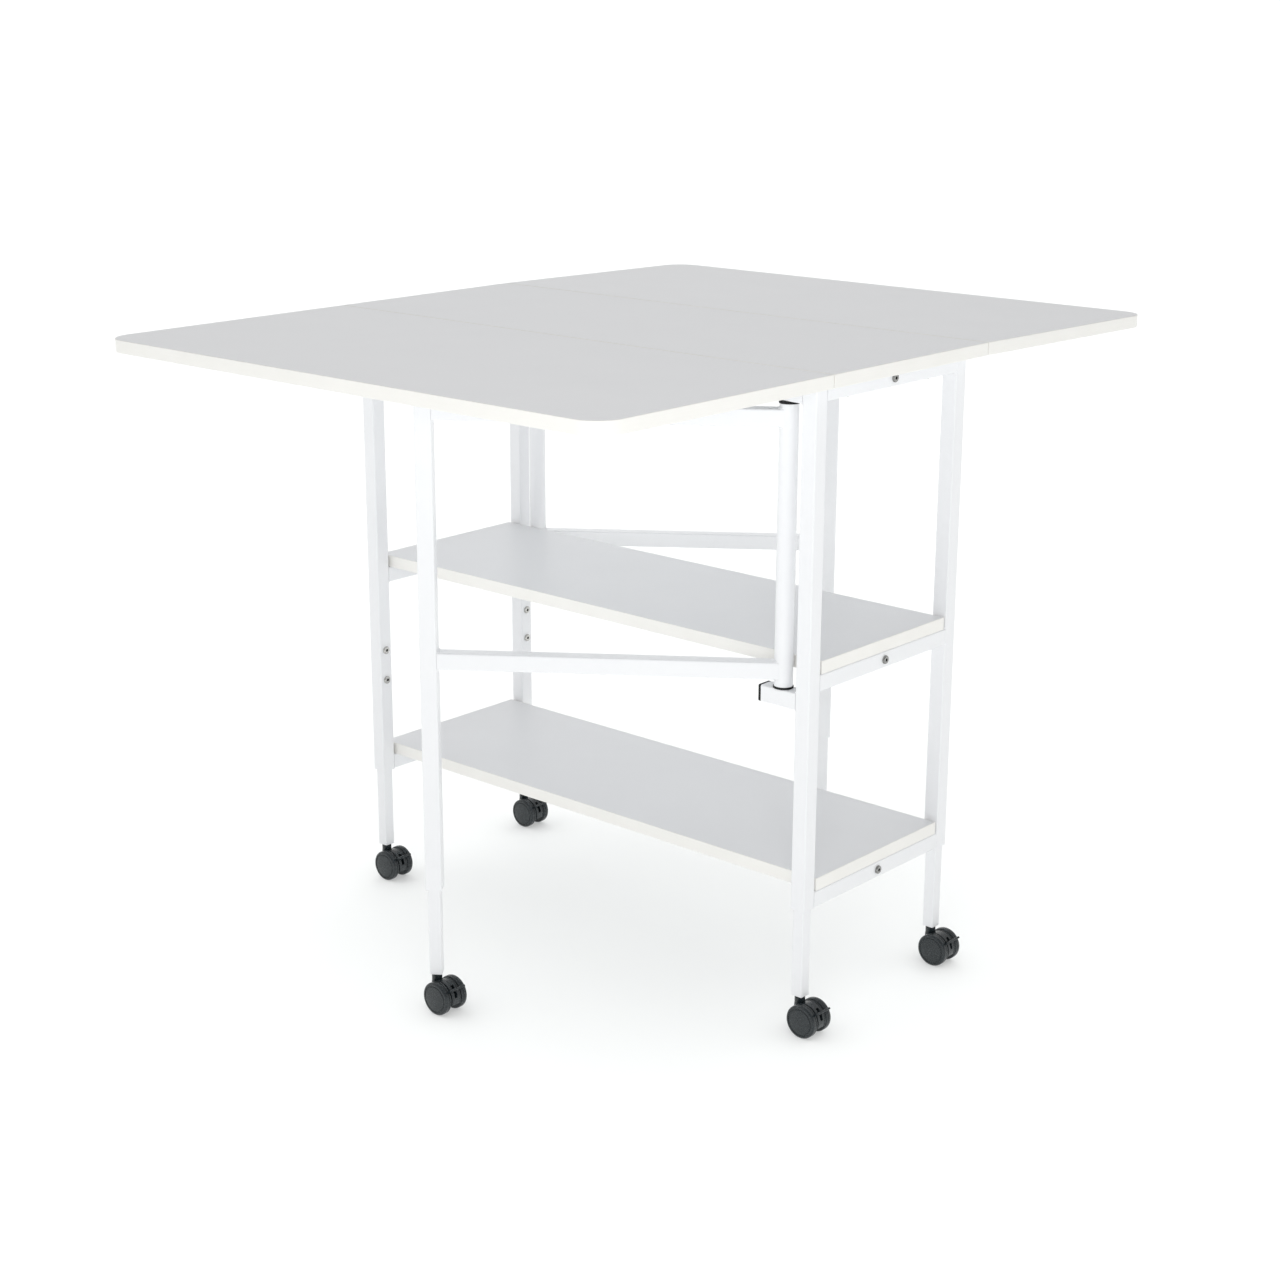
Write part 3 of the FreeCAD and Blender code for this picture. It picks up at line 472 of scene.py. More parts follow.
class Finish:
    """A material being put together from noise on the piece's own coordinates."""

    def __init__(self, name):
        self.material = bpy.data.materials.new(name)
        self.material.use_nodes = True
        self.nodes = self.material.node_tree.nodes
        self.links = self.material.node_tree.links
        self.shader = self.nodes["Principled BSDF"]
        self.place = self.nodes.new("ShaderNodeTexCoord").outputs["Object"]

    def stretched(self, scale):
        mapping = self.nodes.new("ShaderNodeMapping")
        mapping.inputs["Scale"].default_value = scale
        self.links.new(self.place, mapping.inputs["Vector"])
        return mapping.outputs["Vector"]

    def noise(self, feature, detail=2.0, roughness=0.5, vector=None):
        """Noise whose features are about that many millimetres across."""
        node = self.nodes.new("ShaderNodeTexNoise")
        node.inputs["Scale"].default_value = 1 / (feature * MM)
        node.inputs["Detail"].default_value = detail
        node.inputs["Roughness"].default_value = roughness
        self.links.new(vector or self.place, node.inputs["Vector"])
        return node.outputs["Fac"]

    def spread(self, value, low, high, start=0.3, end=0.7):
        node = self.nodes.new("ShaderNodeMapRange")
        node.inputs["From Min"].default_value = start
        node.inputs["From Max"].default_value = end
        node.inputs["To Min"].default_value = low
        node.inputs["To Max"].default_value = high
        self.links.new(value, node.inputs["Value"])
        return node.outputs["Result"]

    def blend(self, factor, first, second):
        node = self.nodes.new("ShaderNodeMix")
        node.data_type = "RGBA"
        sockets = {s.identifier: s for s in node.inputs}
        for identifier, colour in (("A_Color", first), ("B_Color", second)):
            if isinstance(colour, tuple):
                sockets[identifier].default_value = (*colour, 1.0)
            else:
                self.links.new(colour, sockets[identifier])
        self.links.new(factor, sockets["Factor_Float"])
        return next(s for s in node.outputs if s.identifier == "Result_Color")

    def colour(self, value):
        self.links.new(value, self.shader.inputs["Base Color"])

    def roughness(self, value):
        self.links.new(value, self.shader.inputs["Roughness"])

    def bump(self, *layers):
        """Bump layers of (height output, depth in millimetres), one on the other."""
        normal = None
        for height, depth in layers:
            node = self.nodes.new("ShaderNodeBump")
            node.inputs["Strength"].default_value = 1.0
            node.inputs["Distance"].default_value = depth * MM
            self.links.new(height, node.inputs["Height"])
            if normal:
                self.links.new(normal, node.inputs["Normal"])
            normal = node.outputs["Normal"]
        self.links.new(normal, self.shader.inputs["Normal"])


def melamine():
    """Cool white board face with a fine pearl emboss."""
    finish = Finish("melamine_face")
    first, second, over = MELAMINE_COLOURS
    cloud = finish.spread(finish.noise(90.0, 3.0), 0.0, 1.0)
    speck = finish.spread(finish.noise(1.1, 2.0), 0.0, 0.25, 0.45, 0.75)
    base = finish.blend(cloud, first, second)
    finish.colour(finish.blend(speck, base, over))
    finish.roughness(finish.spread(finish.noise(2.4, 3.0), 0.34, 0.46))
    finish.bump((finish.noise(0.9, 2.0), 0.02), (finish.noise(6.0, 1.0), 0.006))
    finish.shader.inputs["Specular IOR Level"].default_value = 0.32
    return finish.material


def banding():
    """Warm white plastic edge strip with faint lines along its run."""
    finish = Finish("edge_banding")
    first, second, over = BANDING_COLOURS
    lines = finish.noise(30.0, 4.0, 0.6, finish.stretched((0.35, 0.35, 30.0)))
    cloud = finish.spread(finish.noise(45.0, 2.0), 0.0, 1.0)
    base = finish.blend(cloud, first, second)
    finish.colour(finish.blend(finish.spread(lines, 0.0, 0.5), base, over))
    finish.roughness(finish.spread(lines, 0.30, 0.42))
    finish.bump((lines, 0.012), (finish.noise(0.8, 1.0), 0.01))
    return finish.material


def powder_coat():
    """White powder coat: orange peel, a slight mottle and dulled rubbed patches."""
    finish = Finish("white_powder_coat")
    first, second, over = COAT_COLOURS
    cloud = finish.spread(finish.noise(60.0, 3.0), 0.0, 1.0)
    rubbed = finish.spread(finish.noise(22.0, 5.0, 0.65), 0.0, 1.0, 0.56, 0.74)
    base = finish.blend(cloud, first, second)
    finish.colour(finish.blend(rubbed, base, over))
    peel = finish.noise(1.6, 1.5)
    finish.roughness(finish.spread(finish.noise(9.0, 4.0), 0.30, 0.37))
    finish.bump((peel, 0.02), (finish.noise(5.0, 1.0), 0.010))
    finish.shader.inputs["Coat Weight"].default_value = 0.15
    finish.shader.inputs["Coat Roughness"].default_value = 0.2
    return finish.material


def plated_steel():
    """Zinc plate: fine turning lines, dulled in patches."""
    finish = Finish("plated_steel")
    lines = finish.noise(3.0, 4.0, 0.7, finish.stretched((1.0, 1.0, 9.0)))
    patches = finish.spread(finish.noise(2.2, 3.0), 0.0, 1.0)
    finish.colour(finish.blend(patches, *STEEL_COLOURS))
    finish.roughness(finish.spread(lines, 0.12, 0.24))
    finish.bump((lines, 0.012), (finish.noise(0.5, 1.0), 0.006))
    finish.shader.inputs["Metallic"].default_value = 1.0
    return finish.material


def dark_zinc():
    """Darkened zinc on the rail bolts, with fine turning lines."""
    finish = Finish("dark_zinc")
    lines = finish.noise(1.5, 3.0, 0.6)
    patches = finish.spread(finish.noise(2.2, 3.0), 0.0, 1.0)
    finish.colour(finish.blend(patches, *ZINC_COLOURS))
    finish.roughness(finish.spread(lines, 0.12, 0.22))
    finish.bump((lines, 0.008))
    finish.shader.inputs["Metallic"].default_value = 1.0
    return finish.material


def black_plastic_and_socket_shade():
    """Black moulded cap with a spark-eroded grain; the same black is painted shade on the screw
    sockets' floors.
    """
    finish = Finish("black_cap_plastic_and_socket_shade")
    cloud = finish.spread(finish.noise(8.0, 3.0), 0.0, 1.0)
    finish.colour(finish.blend(cloud, *BLACK_COLOURS))
    finish.roughness(finish.spread(finish.noise(0.9, 2.0), 0.48, 0.62))
    finish.bump((finish.noise(0.5, 1.0), 0.02), (finish.noise(3.0, 1.0), 0.02))
    finish.shader.inputs["Specular IOR Level"].default_value = 0.25
    return finish.material


def caster_plastic():
    """Slate grey nylon with moulding grain and small lighter scuffs all over."""
    finish = Finish("caster_nylon")
    first, second, over = NYLON_COLOURS
    cloud = finish.spread(finish.noise(10.0, 3.0), 0.0, 1.0)
    scuff = finish.spread(finish.noise(2.5, 5.0, 0.7), 0.0, 0.7, 0.58, 0.78)
    base = finish.blend(cloud, first, second)
    finish.colour(finish.blend(scuff, base, over))
    finish.roughness(finish.spread(finish.noise(1.5, 3.0), 0.20, 0.32))
    finish.bump((finish.noise(0.6, 1.5), 0.012), (finish.noise(4.0, 1.0), 0.012))
    finish.shader.inputs["Specular IOR Level"].default_value = 0.55
    return finish.material


MELAMINE = melamine()
EDGE = banding()
COAT = powder_coat()
STEEL = plated_steel()
ZINC = dark_zinc()
BLACK = black_plastic_and_socket_shade()
NYLON = caster_plastic()


# ---- boards -----------------------------------------------------------------

def add_board(skin, size_x, size_y, thickness, radii, place):
    """A faced core inside a ring of edge strip, with a hairline joint between them."""
    core_levels = [
        (z, BANDING + BANDING_SINK / 2 + inset)
        for z, inset in eased_levels(thickness, BANDING_SINK, 1)
    ]
    inner = BANDING - BANDING_SINK
    joint = BANDING - BANDING_SINK / 2
    strip_levels = [(BANDING_SINK, joint), (0.0, inner)]
    strip_levels += eased_levels(thickness, BANDING_EASE)
    strip_levels += [(thickness, inner), (thickness - BANDING_SINK, joint)]
    core, strip = (
        [
            level(outline(size_x, size_y, radii, inset, corner_steps=BOARD_CORNER_STEPS), z)
            for z, inset in levels
        ]
        for levels in (core_levels, strip_levels)
    )
    skin.add_shell(core, place)
    skin.add_shell(strip, place, looped=True, finish=1)


def make_board(name, radii=(SQUARE_CORNER,) * 4):
    """A level board that fills its node's box."""
    low, high = node_box(name)
    size = high - low
    centre = (low + high) / 2
    skin = Skin()
    add_board(skin, size.x, size.y, size.z, radii, at(centre.x, centre.y, low.z))
    make_piece(name + "_board", "frame", skin, [MELAMINE, EDGE], [name])


def make_back_leaf():
    """The front leaf turned half round, sagging a little about its hinge line."""
    low, high = node_box("front_leaf")
    size = high - low
    centre = (low + high) / 2
    seam = -(node_box("centre_panel")[0].y + high.y) / 2
    hinge_line = at(0, seam, low.z - HINGE_DROP)
    sag = hinge_line @ turn(-BACK_LEAF_SAG, "X") @ hinge_line.inverted()
    skin = Skin()
    place = sag @ HALF_TURN @ at(centre.x, centre.y, low.z)
    add_board(skin, size.x, size.y, size.z, LEAF_CORNERS, place)
    make_piece(
        "back_leaf_board", "frame", skin, [MELAMINE, EDGE], ["back_leaf"]
    )


def make_boards():
    make_board("centre_panel")
    make_board("front_leaf", LEAF_CORNERS)
    make_board("upper_shelf")
    make_board("lower_shelf")
    make_back_leaf()


# ---- frame ------------------------------------------------------------------

def upright_name(side, end):
    return ("back" if end > 0 else "front") + ("_right" if side > 0 else "_left") + "_upright"


def rail_heights():
    """The bottoms of the three levels of rail, under each board."""
    return [
        node_box(board)[0].z - TUBE
        for board in ("lower_shelf", "upper_shelf", "centre_panel")
    ]


UPRIGHT = node_centre("front_right_upright")
UPRIGHT_X = UPRIGHT.x
UPRIGHT_Y = -UPRIGHT.y


def make_uprights():
    for side in (-1, 1):
        for end in (-1, 1):
            node = upright_name(side, end)
            low, high = node_box(node)
            skin = Skin()
            place = at(side * UPRIGHT_X, end * UPRIGHT_Y, low.z)
            add_tube(skin, TUBE, TUBE_CORNER, TUBE_WALL, high.z - low.z, place)
            make_piece(node + "_tube", "frame", skin, [COAT], [node])


def make_rails():
    half_rail = UPRIGHT_Y - TUBE / 2
    half_stretcher = UPRIGHT_X - TUBE / 2
    rails, stretchers, welds = Skin(), Skin(), Skin()
    for bottom in rail_heights():
        middle = bottom + TUBE / 2
        under_top = bottom == rail_heights()[-1]
        for side in (-1, 1):
            place = at(side * UPRIGHT_X, -half_rail, middle) @ ALONG_Y
            add_tube(rails, TUBE, TUBE_CORNER, TUBE_WALL, 2 * half_rail, place)
            for end in (-1, 1):
                faces = [(bottom, Vector((0, 0, -1)))]
                if not under_top:
                    faces.append((bottom + TUBE, Vector((0, 0, 1))))
                for z, away in faces:
                    reach = TUBE / 2 - TUBE_CORNER
                    start = Vector((side * UPRIGHT_X - reach, end * half_rail, z))
                    stop = Vector((side * UPRIGHT_X + reach, end * half_rail, z))
                    along_rail = Vector((0, -end, 0))
                    add_bead(welds, straight_stations(start, stop, along_rail, away))
        place = at(-half_stretcher, 0, middle) @ ALONG_X
        add_tube(stretchers, TUBE, TUBE_CORNER, TUBE_WALL, 2 * half_stretcher, place)
    make_piece("end_rail_tubes", "frame", rails, [COAT], ["end_rails"])
    make_piece("stretcher_tubes", "frame", stretchers, [COAT], ["stretchers"])
    make_piece("end_rail_welds", "frame", welds, [COAT])


def gate_turns():
    """What carries a piece made on the front gate's side to either side of the table."""
    return (("front", Matrix.Identity(4)), ("back", HALF_TURN))


PIVOT = node_centre("front_gate_post")
GATE_FOOT = node_centre("front_gate_leg_tube")
GATE_REACH = math.hypot(GATE_FOOT.x - PIVOT.x, GATE_FOOT.y - PIVOT.y)
GATE_ANGLE = math.degrees(math.atan2(PIVOT.y - GATE_FOOT.y, PIVOT.x - GATE_FOOT.x))
STUB_HEIGHTS = (node_box("gate_stubs")[0].z, node_box("gate_stubs")[1].z - TUBE)


def make_stubs():
    length = UPRIGHT_X - TUBE / 2 - STUB_END_X
    arms, caps, welds = Skin(), Skin(), Skin()
    for _, carried in gate_turns():
        for bottom in STUB_HEIGHTS:
            middle = bottom + TUBE / 2
            place = carried @ at(STUB_END_X, -UPRIGHT_Y, middle) @ ALONG_X
            add_tube(arms, TUBE, TUBE_CORNER, TUBE_WALL, length, place)
            place = carried @ at(STUB_END_X - STUB_CAP, -UPRIGHT_Y, middle) @ ALONG_X
            add_block(caps, TUBE, TUBE, STUB_CAP, TUBE_CORNER, CAP_EASE, place)
            place = carried @ at(STUB_END_X - CAP_OVERLAP, -UPRIGHT_Y, middle) @ ALONG_X
            add_block(caps, PLUG, PLUG, CAP_PLUG, PLUG_CORNER, PLUG_EASE, place)
            for z, away in ((bottom, -1), (bottom + TUBE, 1)):
                reach = TUBE / 2 - TUBE_CORNER
                x = UPRIGHT_X - TUBE / 2
                start = Vector((x, -UPRIGHT_Y - reach, z))
                stop = Vector((x, -UPRIGHT_Y + reach, z))
                along_arm = Vector((-1, 0, 0))
                stations = straight_stations(start, stop, along_arm, Vector((0, 0, away)))
                add_bead(welds, stations, carried)
    for side in (-1, 1):
        for end in (-1, 1):
            add_sleeve(caps, at(side * UPRIGHT_X, end * UPRIGHT_Y, node_box("end_rails")[0].z))
    make_piece("gate_stub_tubes", "frame", arms, [COAT], ["gate_stubs"])
    make_piece("gate_stub_welds", "frame", welds, [COAT])
    make_piece(
        "frame_caps_and_sleeves", "frame", caps, [BLACK], ["frame_plastic_caps"]
    )


def add_sleeve(skin, place):
    """The plastic lining that an inner leg slides in."""
    wall = (PLUG - INNER_TUBE) / 2 - SLEEVE_CLEARANCE
    add_tube(skin, PLUG, TUBE_CORNER - TUBE_WALL, wall, SLEEVE_LENGTH, place)


# ---- fasteners --------------------------------------------------------------

def socket_outline(z, steps):
    """A hexagon sampled at the same angles as a circle of that many steps."""
    points = []
    for k in range(steps):
        angle = 2 * math.pi * k / steps
        off_middle = (angle % (math.pi / 3)) - math.pi / 6
        radius = SOCKET / math.cos(off_middle)
        points.append((radius * math.cos(angle), radius * math.sin(angle), z))
    return points


def add_button_screw(skin, place, reach):
    """A low socket-head screw seated on local z = 0, with a black floor in its socket as painted
    shade in the recess.
    """
    socket_rim = SOCKET / math.cos(math.pi / 6) + SOCKET_LAND
    profile = [(SHANK_RADIUS, -reach), (SHANK_RADIUS, 0.0)]
    profile += [(HEAD_RADIUS - HEAD_FOOT, 0.0), (HEAD_RADIUS, HEAD_FOOT)]
    profile += arc_profile(
        HEAD_RADIUS - HEAD_ROUNDING, HEAD_HEIGHT - HEAD_ROUNDING, HEAD_ROUNDING, 0, 90, 6
    )
    profile += [(socket_rim, HEAD_HEIGHT)]
    rings = [circle(radius, z, HEAD_STEPS) for radius, z in profile]
    rings.append(socket_outline(HEAD_HEIGHT - SOCKET_BEVEL, HEAD_STEPS))
    rings.append(socket_outline(HEAD_HEIGHT - SOCKET_DEPTH, HEAD_STEPS))
    # both capped ends take the second finish, black; on the socket floor it is painted shade
    skin.add_shell(rings, place, cap_finish=1)


def make_fasteners():
    bolts, screws = Skin(), Skin()
    for bottom in rail_heights():
        for _, carried in gate_turns():
            place = carried @ at(UPRIGHT_X + TUBE / 2, 0, bottom + TUBE / 2) @ ALONG_X
            add_button_screw(bolts, place @ turn(BOLT_TURN + bottom), BOLT_SHANK)
    for end in (-1, 1):
        for z in LOCK_SCREW_HEIGHTS:
            for _, carried in gate_turns():
                place = carried @ at(-UPRIGHT_X + TUBE / 2, end * UPRIGHT_Y, z) @ ALONG_X
                turned = place @ turn(z + LOCK_SCREW_TURN * end)
                add_button_screw(screws, turned, LOCK_SCREW_SHANK)
    # the second finish, black, is painted shade on the socket floors
    make_piece("rail_bolt_heads", "frame", bolts, [ZINC, BLACK], ["rail_bolts"])
    make_piece(
        "leg_lock_screws", "frame", screws, [STEEL, BLACK], ["upright_lock_screws"]
    )


# ---- gates ------------------------------------------------------------------

def gate_place():
    """The frame in which a gate lies along -X from its pivot, swung out to rest."""
    return at(PIVOT.x, PIVOT.y, 0) @ turn(GATE_ANGLE)


def make_post(name, carried):
    low, high = node_box(name + "_post")
    skin = Skin()
    length = high.z - low.z
    inner = POST_RADIUS - TUBE_WALL
    profile = [(inner, 0.0), (POST_RADIUS - CUT_EDGE, 0.0), (POST_RADIUS, CUT_EDGE)]
    profile += [(POST_RADIUS, length - CUT_EDGE), (POST_RADIUS - CUT_EDGE, length)]
    profile += [(inner, length)]
    place = carried @ at(PIVOT.x, PIVOT.y, low.z)
    add_lathe(skin, profile, place, ROUND_STEPS, looped=True)
    make_piece(name + "_post_tube", name, skin, [COAT], [name + "_post"])


def make_gate_rails(name, carried):
    """Two rails from the leg to the post, and the welds at both ends of each."""
    low, high = node_box(name + "_rails")
    rails, welds = Skin(), Skin()
    local = carried @ gate_place()
    leg_face = -GATE_REACH + TUBE / 2
    for bottom in (low.z, high.z - TUBE):
        middle = bottom + TUBE / 2
        place = local @ at(leg_face, 0, middle) @ ALONG_X
        add_tube(rails, TUBE, TUBE_CORNER, TUBE_WALL, -leg_face, place, saddle=POST_RADIUS)
        for z, away in ((bottom, -1), (bottom + TUBE, 1)):
            up = Vector((0, 0, away))
            reach = TUBE / 2 - TUBE_CORNER
            start, stop = Vector((leg_face, -reach, z)), Vector((leg_face, reach, z))
            add_bead(welds, straight_stations(start, stop, Vector((1, 0, 0)), up), local)
            half_wrap = math.asin(reach / POST_RADIUS)
            stations = []
            for k in range(WRAP_STATIONS + 1):
                angle = math.pi - half_wrap + 2 * half_wrap * k / WRAP_STATIONS
                radial = Vector((math.cos(angle), math.sin(angle), 0))
                stations.append((radial * POST_RADIUS + Vector((0, 0, z)), radial, up))
            add_bead(welds, stations, local)
    make_piece(name + "_rail_tubes", name, rails, [COAT], [name + "_rails"])
    make_piece(name + "_welds", name, welds, [COAT])


def make_gate_leg(name, carried):
    low, high = node_box(name + "_leg_tube")
    skin = Skin()
    place = carried @ gate_place() @ at(-GATE_REACH, 0, low.z)
    add_tube(skin, TUBE, TUBE_CORNER, TUBE_WALL, high.z - low.z, place)
    make_piece(name + "_outer_leg", name, skin, [COAT], [name + "_leg_tube"])


def post_cap_profile(flange):
    """A flanged bearing cap, its flange's outer face at z = 0."""
    plug = POST_RADIUS - TUBE_WALL - FIT
    profile = [(CAP_BORE, 0.0)] + rounded_rim(POST_FLANGE_RADIUS, 0.0, FACE_RIM)
    profile += reversed(rounded_rim(POST_FLANGE_RADIUS, flange, SEAT_RIM, -1))
    return profile + [(plug, flange), (plug, POST_PLUG), (CAP_BORE, POST_PLUG)]


def add_leaf_rest(skin, place, pad_height):
    """The cap on the gate leg with its round pad; local z = 0 is the leg's top."""
    add_block(skin, TUBE, TUBE, REST_FLANGE, TUBE_CORNER, CAP_EASE, place)
    inside = place @ at(0, 0, REST_OVERLAP - REST_PLUG)
    add_block(skin, PLUG, PLUG, REST_PLUG, PLUG_CORNER, PLUG_EASE, inside)
    outwards, upwards = REST_FLARE_MIDDLE
    profile = [(REST_PAD + REST_FLARE, -REST_OVERLAP), (REST_PAD + outwards, upwards)]
    profile += [(REST_PAD, REST_FLARE)]
    profile += arc_profile(
        REST_PAD - REST_ROUNDING, pad_height - REST_ROUNDING, REST_ROUNDING, 0, 90, 4
    )
    profile += [(REST_FLAT, pad_height)]
    add_lathe(skin, profile, place @ at(0, 0, REST_FLANGE), REST_STEPS)


def make_gate_caps(name, carried):
    """The post's two bearing caps, the leaf rest and the sleeve in the leg."""
    skin = Skin()
    post_low, post_high = node_box(name + "_post")
    seat = STUB_HEIGHTS[0] + TUBE
    lower = carried @ at(PIVOT.x, PIVOT.y, seat)
    add_lathe(skin, post_cap_profile(post_low.z - seat), lower, ROUND_STEPS, looped=True)
    upper = carried @ at(PIVOT.x, PIVOT.y, STUB_HEIGHTS[1]) @ turn(180, "X")
    flange = STUB_HEIGHTS[1] - post_high.z
    add_lathe(skin, post_cap_profile(flange), upper, ROUND_STEPS, looped=True)
    leg_low, leg_high = node_box(name + "_leg_tube")
    rest_top = node_box(name + "_plastic_caps")[1].z
    local = carried @ gate_place() @ at(-GATE_REACH, 0, 0)
    add_leaf_rest(skin, local @ at(0, 0, leg_high.z), rest_top - leg_high.z - REST_FLANGE)
    add_sleeve(skin, local @ at(0, 0, leg_low.z))
    make_piece(name + "_caps", name, skin, [BLACK], [name + "_plastic_caps"])


def make_gate_screws(name, carried):
    skin = Skin()
    local = carried @ gate_place() @ at(-GATE_REACH, TUBE / 2, 0)
    for z in LOCK_SCREW_HEIGHTS:
        add_button_screw(skin, local @ at(0, 0, z) @ ALONG_Y @ turn(z), LOCK_SCREW_SHANK)
    # the second finish, black, is painted shade on the socket floors
    make_piece(
        name + "_leg_screws", name, skin, [STEEL, BLACK], [name + "_lock_screws"]
    )


def make_gates():
    for side, carried in gate_turns():
        name = side + "_gate"
        make_post(name, carried)
        make_gate_rails(name, carried)
        make_gate_leg(name, carried)
        make_gate_caps(name, carried)
        make_gate_screws(name, carried)


# ---- legs and casters -------------------------------------------------------

def make_inner_leg(leg):
    """The sliding tube with the plug that holds the caster's stem."""
    node = leg + "_inner_leg"
    low, high = node_box(node)
    centre = (low + high) / 2
    spun = turn(GATE_ANGLE) if "gate" in leg else Matrix.Identity(4)
    place = at(centre.x, centre.y, low.z) @ spun
    skin = Skin()
    add_block(skin, INNER_TUBE, INNER_TUBE, PLUG_FLANGE, INNER_CORNER, FLANGE_EASE, place)
    length = high.z - low.z - PLUG_FLANGE
    above = place @ at(0, 0, PLUG_FLANGE)
    add_tube(skin, INNER_TUBE, INNER_CORNER, INNER_WALL, length, above)
    make_piece(node + "_tube", leg + "_leg", skin, [COAT], [node])


def dome_height(radius):
    """How far along the axle the wheel's domed outer face stands at a radius."""
    face_radius = WHEEL_RADIUS - WHEEL_SHOULDER
    return WHEEL_OUTER_FACE - WHEEL_DOME * (radius / face_radius) ** 2


def wheel_profile():
    """One wheel from its inner face to its domed outer face, along its axle."""
    inner, radius = WHEEL_INNER_FACE, WHEEL_RADIUS
    rim = WHEEL_OUTER_FACE - WHEEL_DOME
    recess = inner + WHEEL_RECESS
    slope_start, slope_end = WHEEL_RECESS_RADII
    profile = [(WHEEL_BORE, recess), (slope_start, recess), (slope_end, inner)]
    rounding = WHEEL_INNER_ROUNDING
    profile += arc_profile(radius - rounding, inner + rounding, rounding, -90, 0, 5)
    line_depths = (0.0, TREAD_LINE_DEPTH, TREAD_LINE_DEPTH, 0.0)
    profile += [(radius - depth, inner + along) for along, depth in zip(TREAD_LINE, line_depths)]
    profile += [(radius, rim - WHEEL_SHOULDER - WHEEL_SHOULDER_GAP)]
    profile += arc_profile(
        radius - WHEEL_SHOULDER, rim - WHEEL_SHOULDER, WHEEL_SHOULDER, *WHEEL_SHOULDER_SPAN, 7
    )
    for offset, sink in GROOVE_SHAPE:
        r = WHEEL_GROOVE_RADIUS + offset
        profile.append((r, dome_height(r) - sink * WHEEL_GROOVE))
    profile += [(r, dome_height(r)) for r in DOME_RADII]
    return profile


def make_wheels(leg, centre):
    """Two wheels on one axle."""
    skin = Skin()
    axle = centre @ at(CASTER_TRAIL, 0, WHEEL_RADIUS)
    for outwards in (ALONG_Y, turn(90, "X")):
        add_lathe(skin, wheel_profile(), axle @ outwards, WHEEL_STEPS)
    node = leg + "_caster_wheels"
    make_piece(leg + "_wheel_pair", leg + "_wheels", skin, [NYLON], [node])


def hood_profile():
    """The hood across its width: a lip at each side and a shallow band between."""
    side = HOOD_HALF_WIDTH
    depth, slope = HOOD_BAND
    half = [(HOOD_HUB, side)] + rounded_rim(HOOD_RADIUS, side, HOOD_RIM, -1)
    half += [(HOOD_RADIUS, side - HOOD_LIP), (HOOD_RADIUS - depth, side - HOOD_LIP - slope)]
    return [(r, -y) for r, y in half] + [(r, y) for r, y in reversed(half)]


def cut_mesh(piece, cutters):
    """Cuts closed shapes out of a piece and leaves a plain mesh."""
    for cutter in cutters:
        cut = piece.modifiers.new("cut", "BOOLEAN")
        cut.operation = "DIFFERENCE"
        cut.solver = "EXACT"
        cut.object = cutter
    bpy.context.view_layer.update()
    graph = bpy.context.evaluated_depsgraph_get()
    return bpy.data.meshes.new_from_object(piece.evaluated_get(graph))


def hood_mesh():
    """The hood round the axle at the origin, its foot cut flat, with the brake's slot."""
    hood = Skin()
    add_lathe(hood, hood_profile(), ALONG_Y, HOOD_STEPS)
    foot, slot = Skin(), Skin()
    size = HOOD_CUTTER
    place = at(0, 0, -size - WHEEL_RADIUS + HOOD_BOTTOM)
    add_block(foot, size, size, size, CUTTER_CORNER, CUTTER_EASE, place)
    bottom, top = BRAKE_SLOT_HEIGHTS
    width = 2 * BRAKE_SLOT_HALF_WIDTH
    place = at(BRAKE_SLOT_START + BRAKE_SLOT_LENGTH / 2, 0, bottom)
    add_block(
        slot, BRAKE_SLOT_LENGTH, width, top - bottom, BRAKE_SLOT_CORNER, CUTTER_EASE, place
    )
    shapes = {"hood_blank": hood, "foot": foot, "slot": slot}
    pieces = [new_object(name, closed_mesh(name, shape)) for name, shape in shapes.items()]
    mesh = cut_mesh(pieces[0], pieces[1:])
    for made in pieces:
        bpy.data.objects.remove(made)
    return mesh


def make_housing(leg, centre, hood):
    """The hood and the collar that the stem turns in."""
    skin = Skin()
    axle = centre @ at(CASTER_TRAIL, 0, WHEEL_RADIUS)
    skin.points = [axle @ (vertex.co / MM) for vertex in hood.vertices]
    skin.faces = [list(face.vertices) for face in hood.polygons]
    skin.finishes = [0] * len(skin.faces)
    profile = [(COLLAR_INSIDE, COLLAR_BOTTOM), (HOOD_HALF_WIDTH - COLLAR_STEP, COLLAR_BOTTOM)]
    profile += [(HOOD_HALF_WIDTH - 2 * COLLAR_STEP, COLLAR_SHOULDER)]
    profile += [(BOSS_RADIUS + COLLAR_STEP, COLLAR_TOP), (BOSS_RADIUS, BOSS_FOOT)]
    profile += arc_profile(
        BOSS_RADIUS - BOSS_ROUNDING, BOSS_TOP - BOSS_ROUNDING, BOSS_ROUNDING, 0, 90, 4
    )
    profile += [(STEM_BORE, BOSS_TOP), (STEM_BORE, BOSS_TOP - STEM_BORE_DEPTH)]
    add_lathe(skin, profile, centre, COLLAR_STEPS)
    node = leg + "_caster_housing"
    make_piece(leg + "_caster_hood", leg + "_caster", skin, [NYLON], [node])


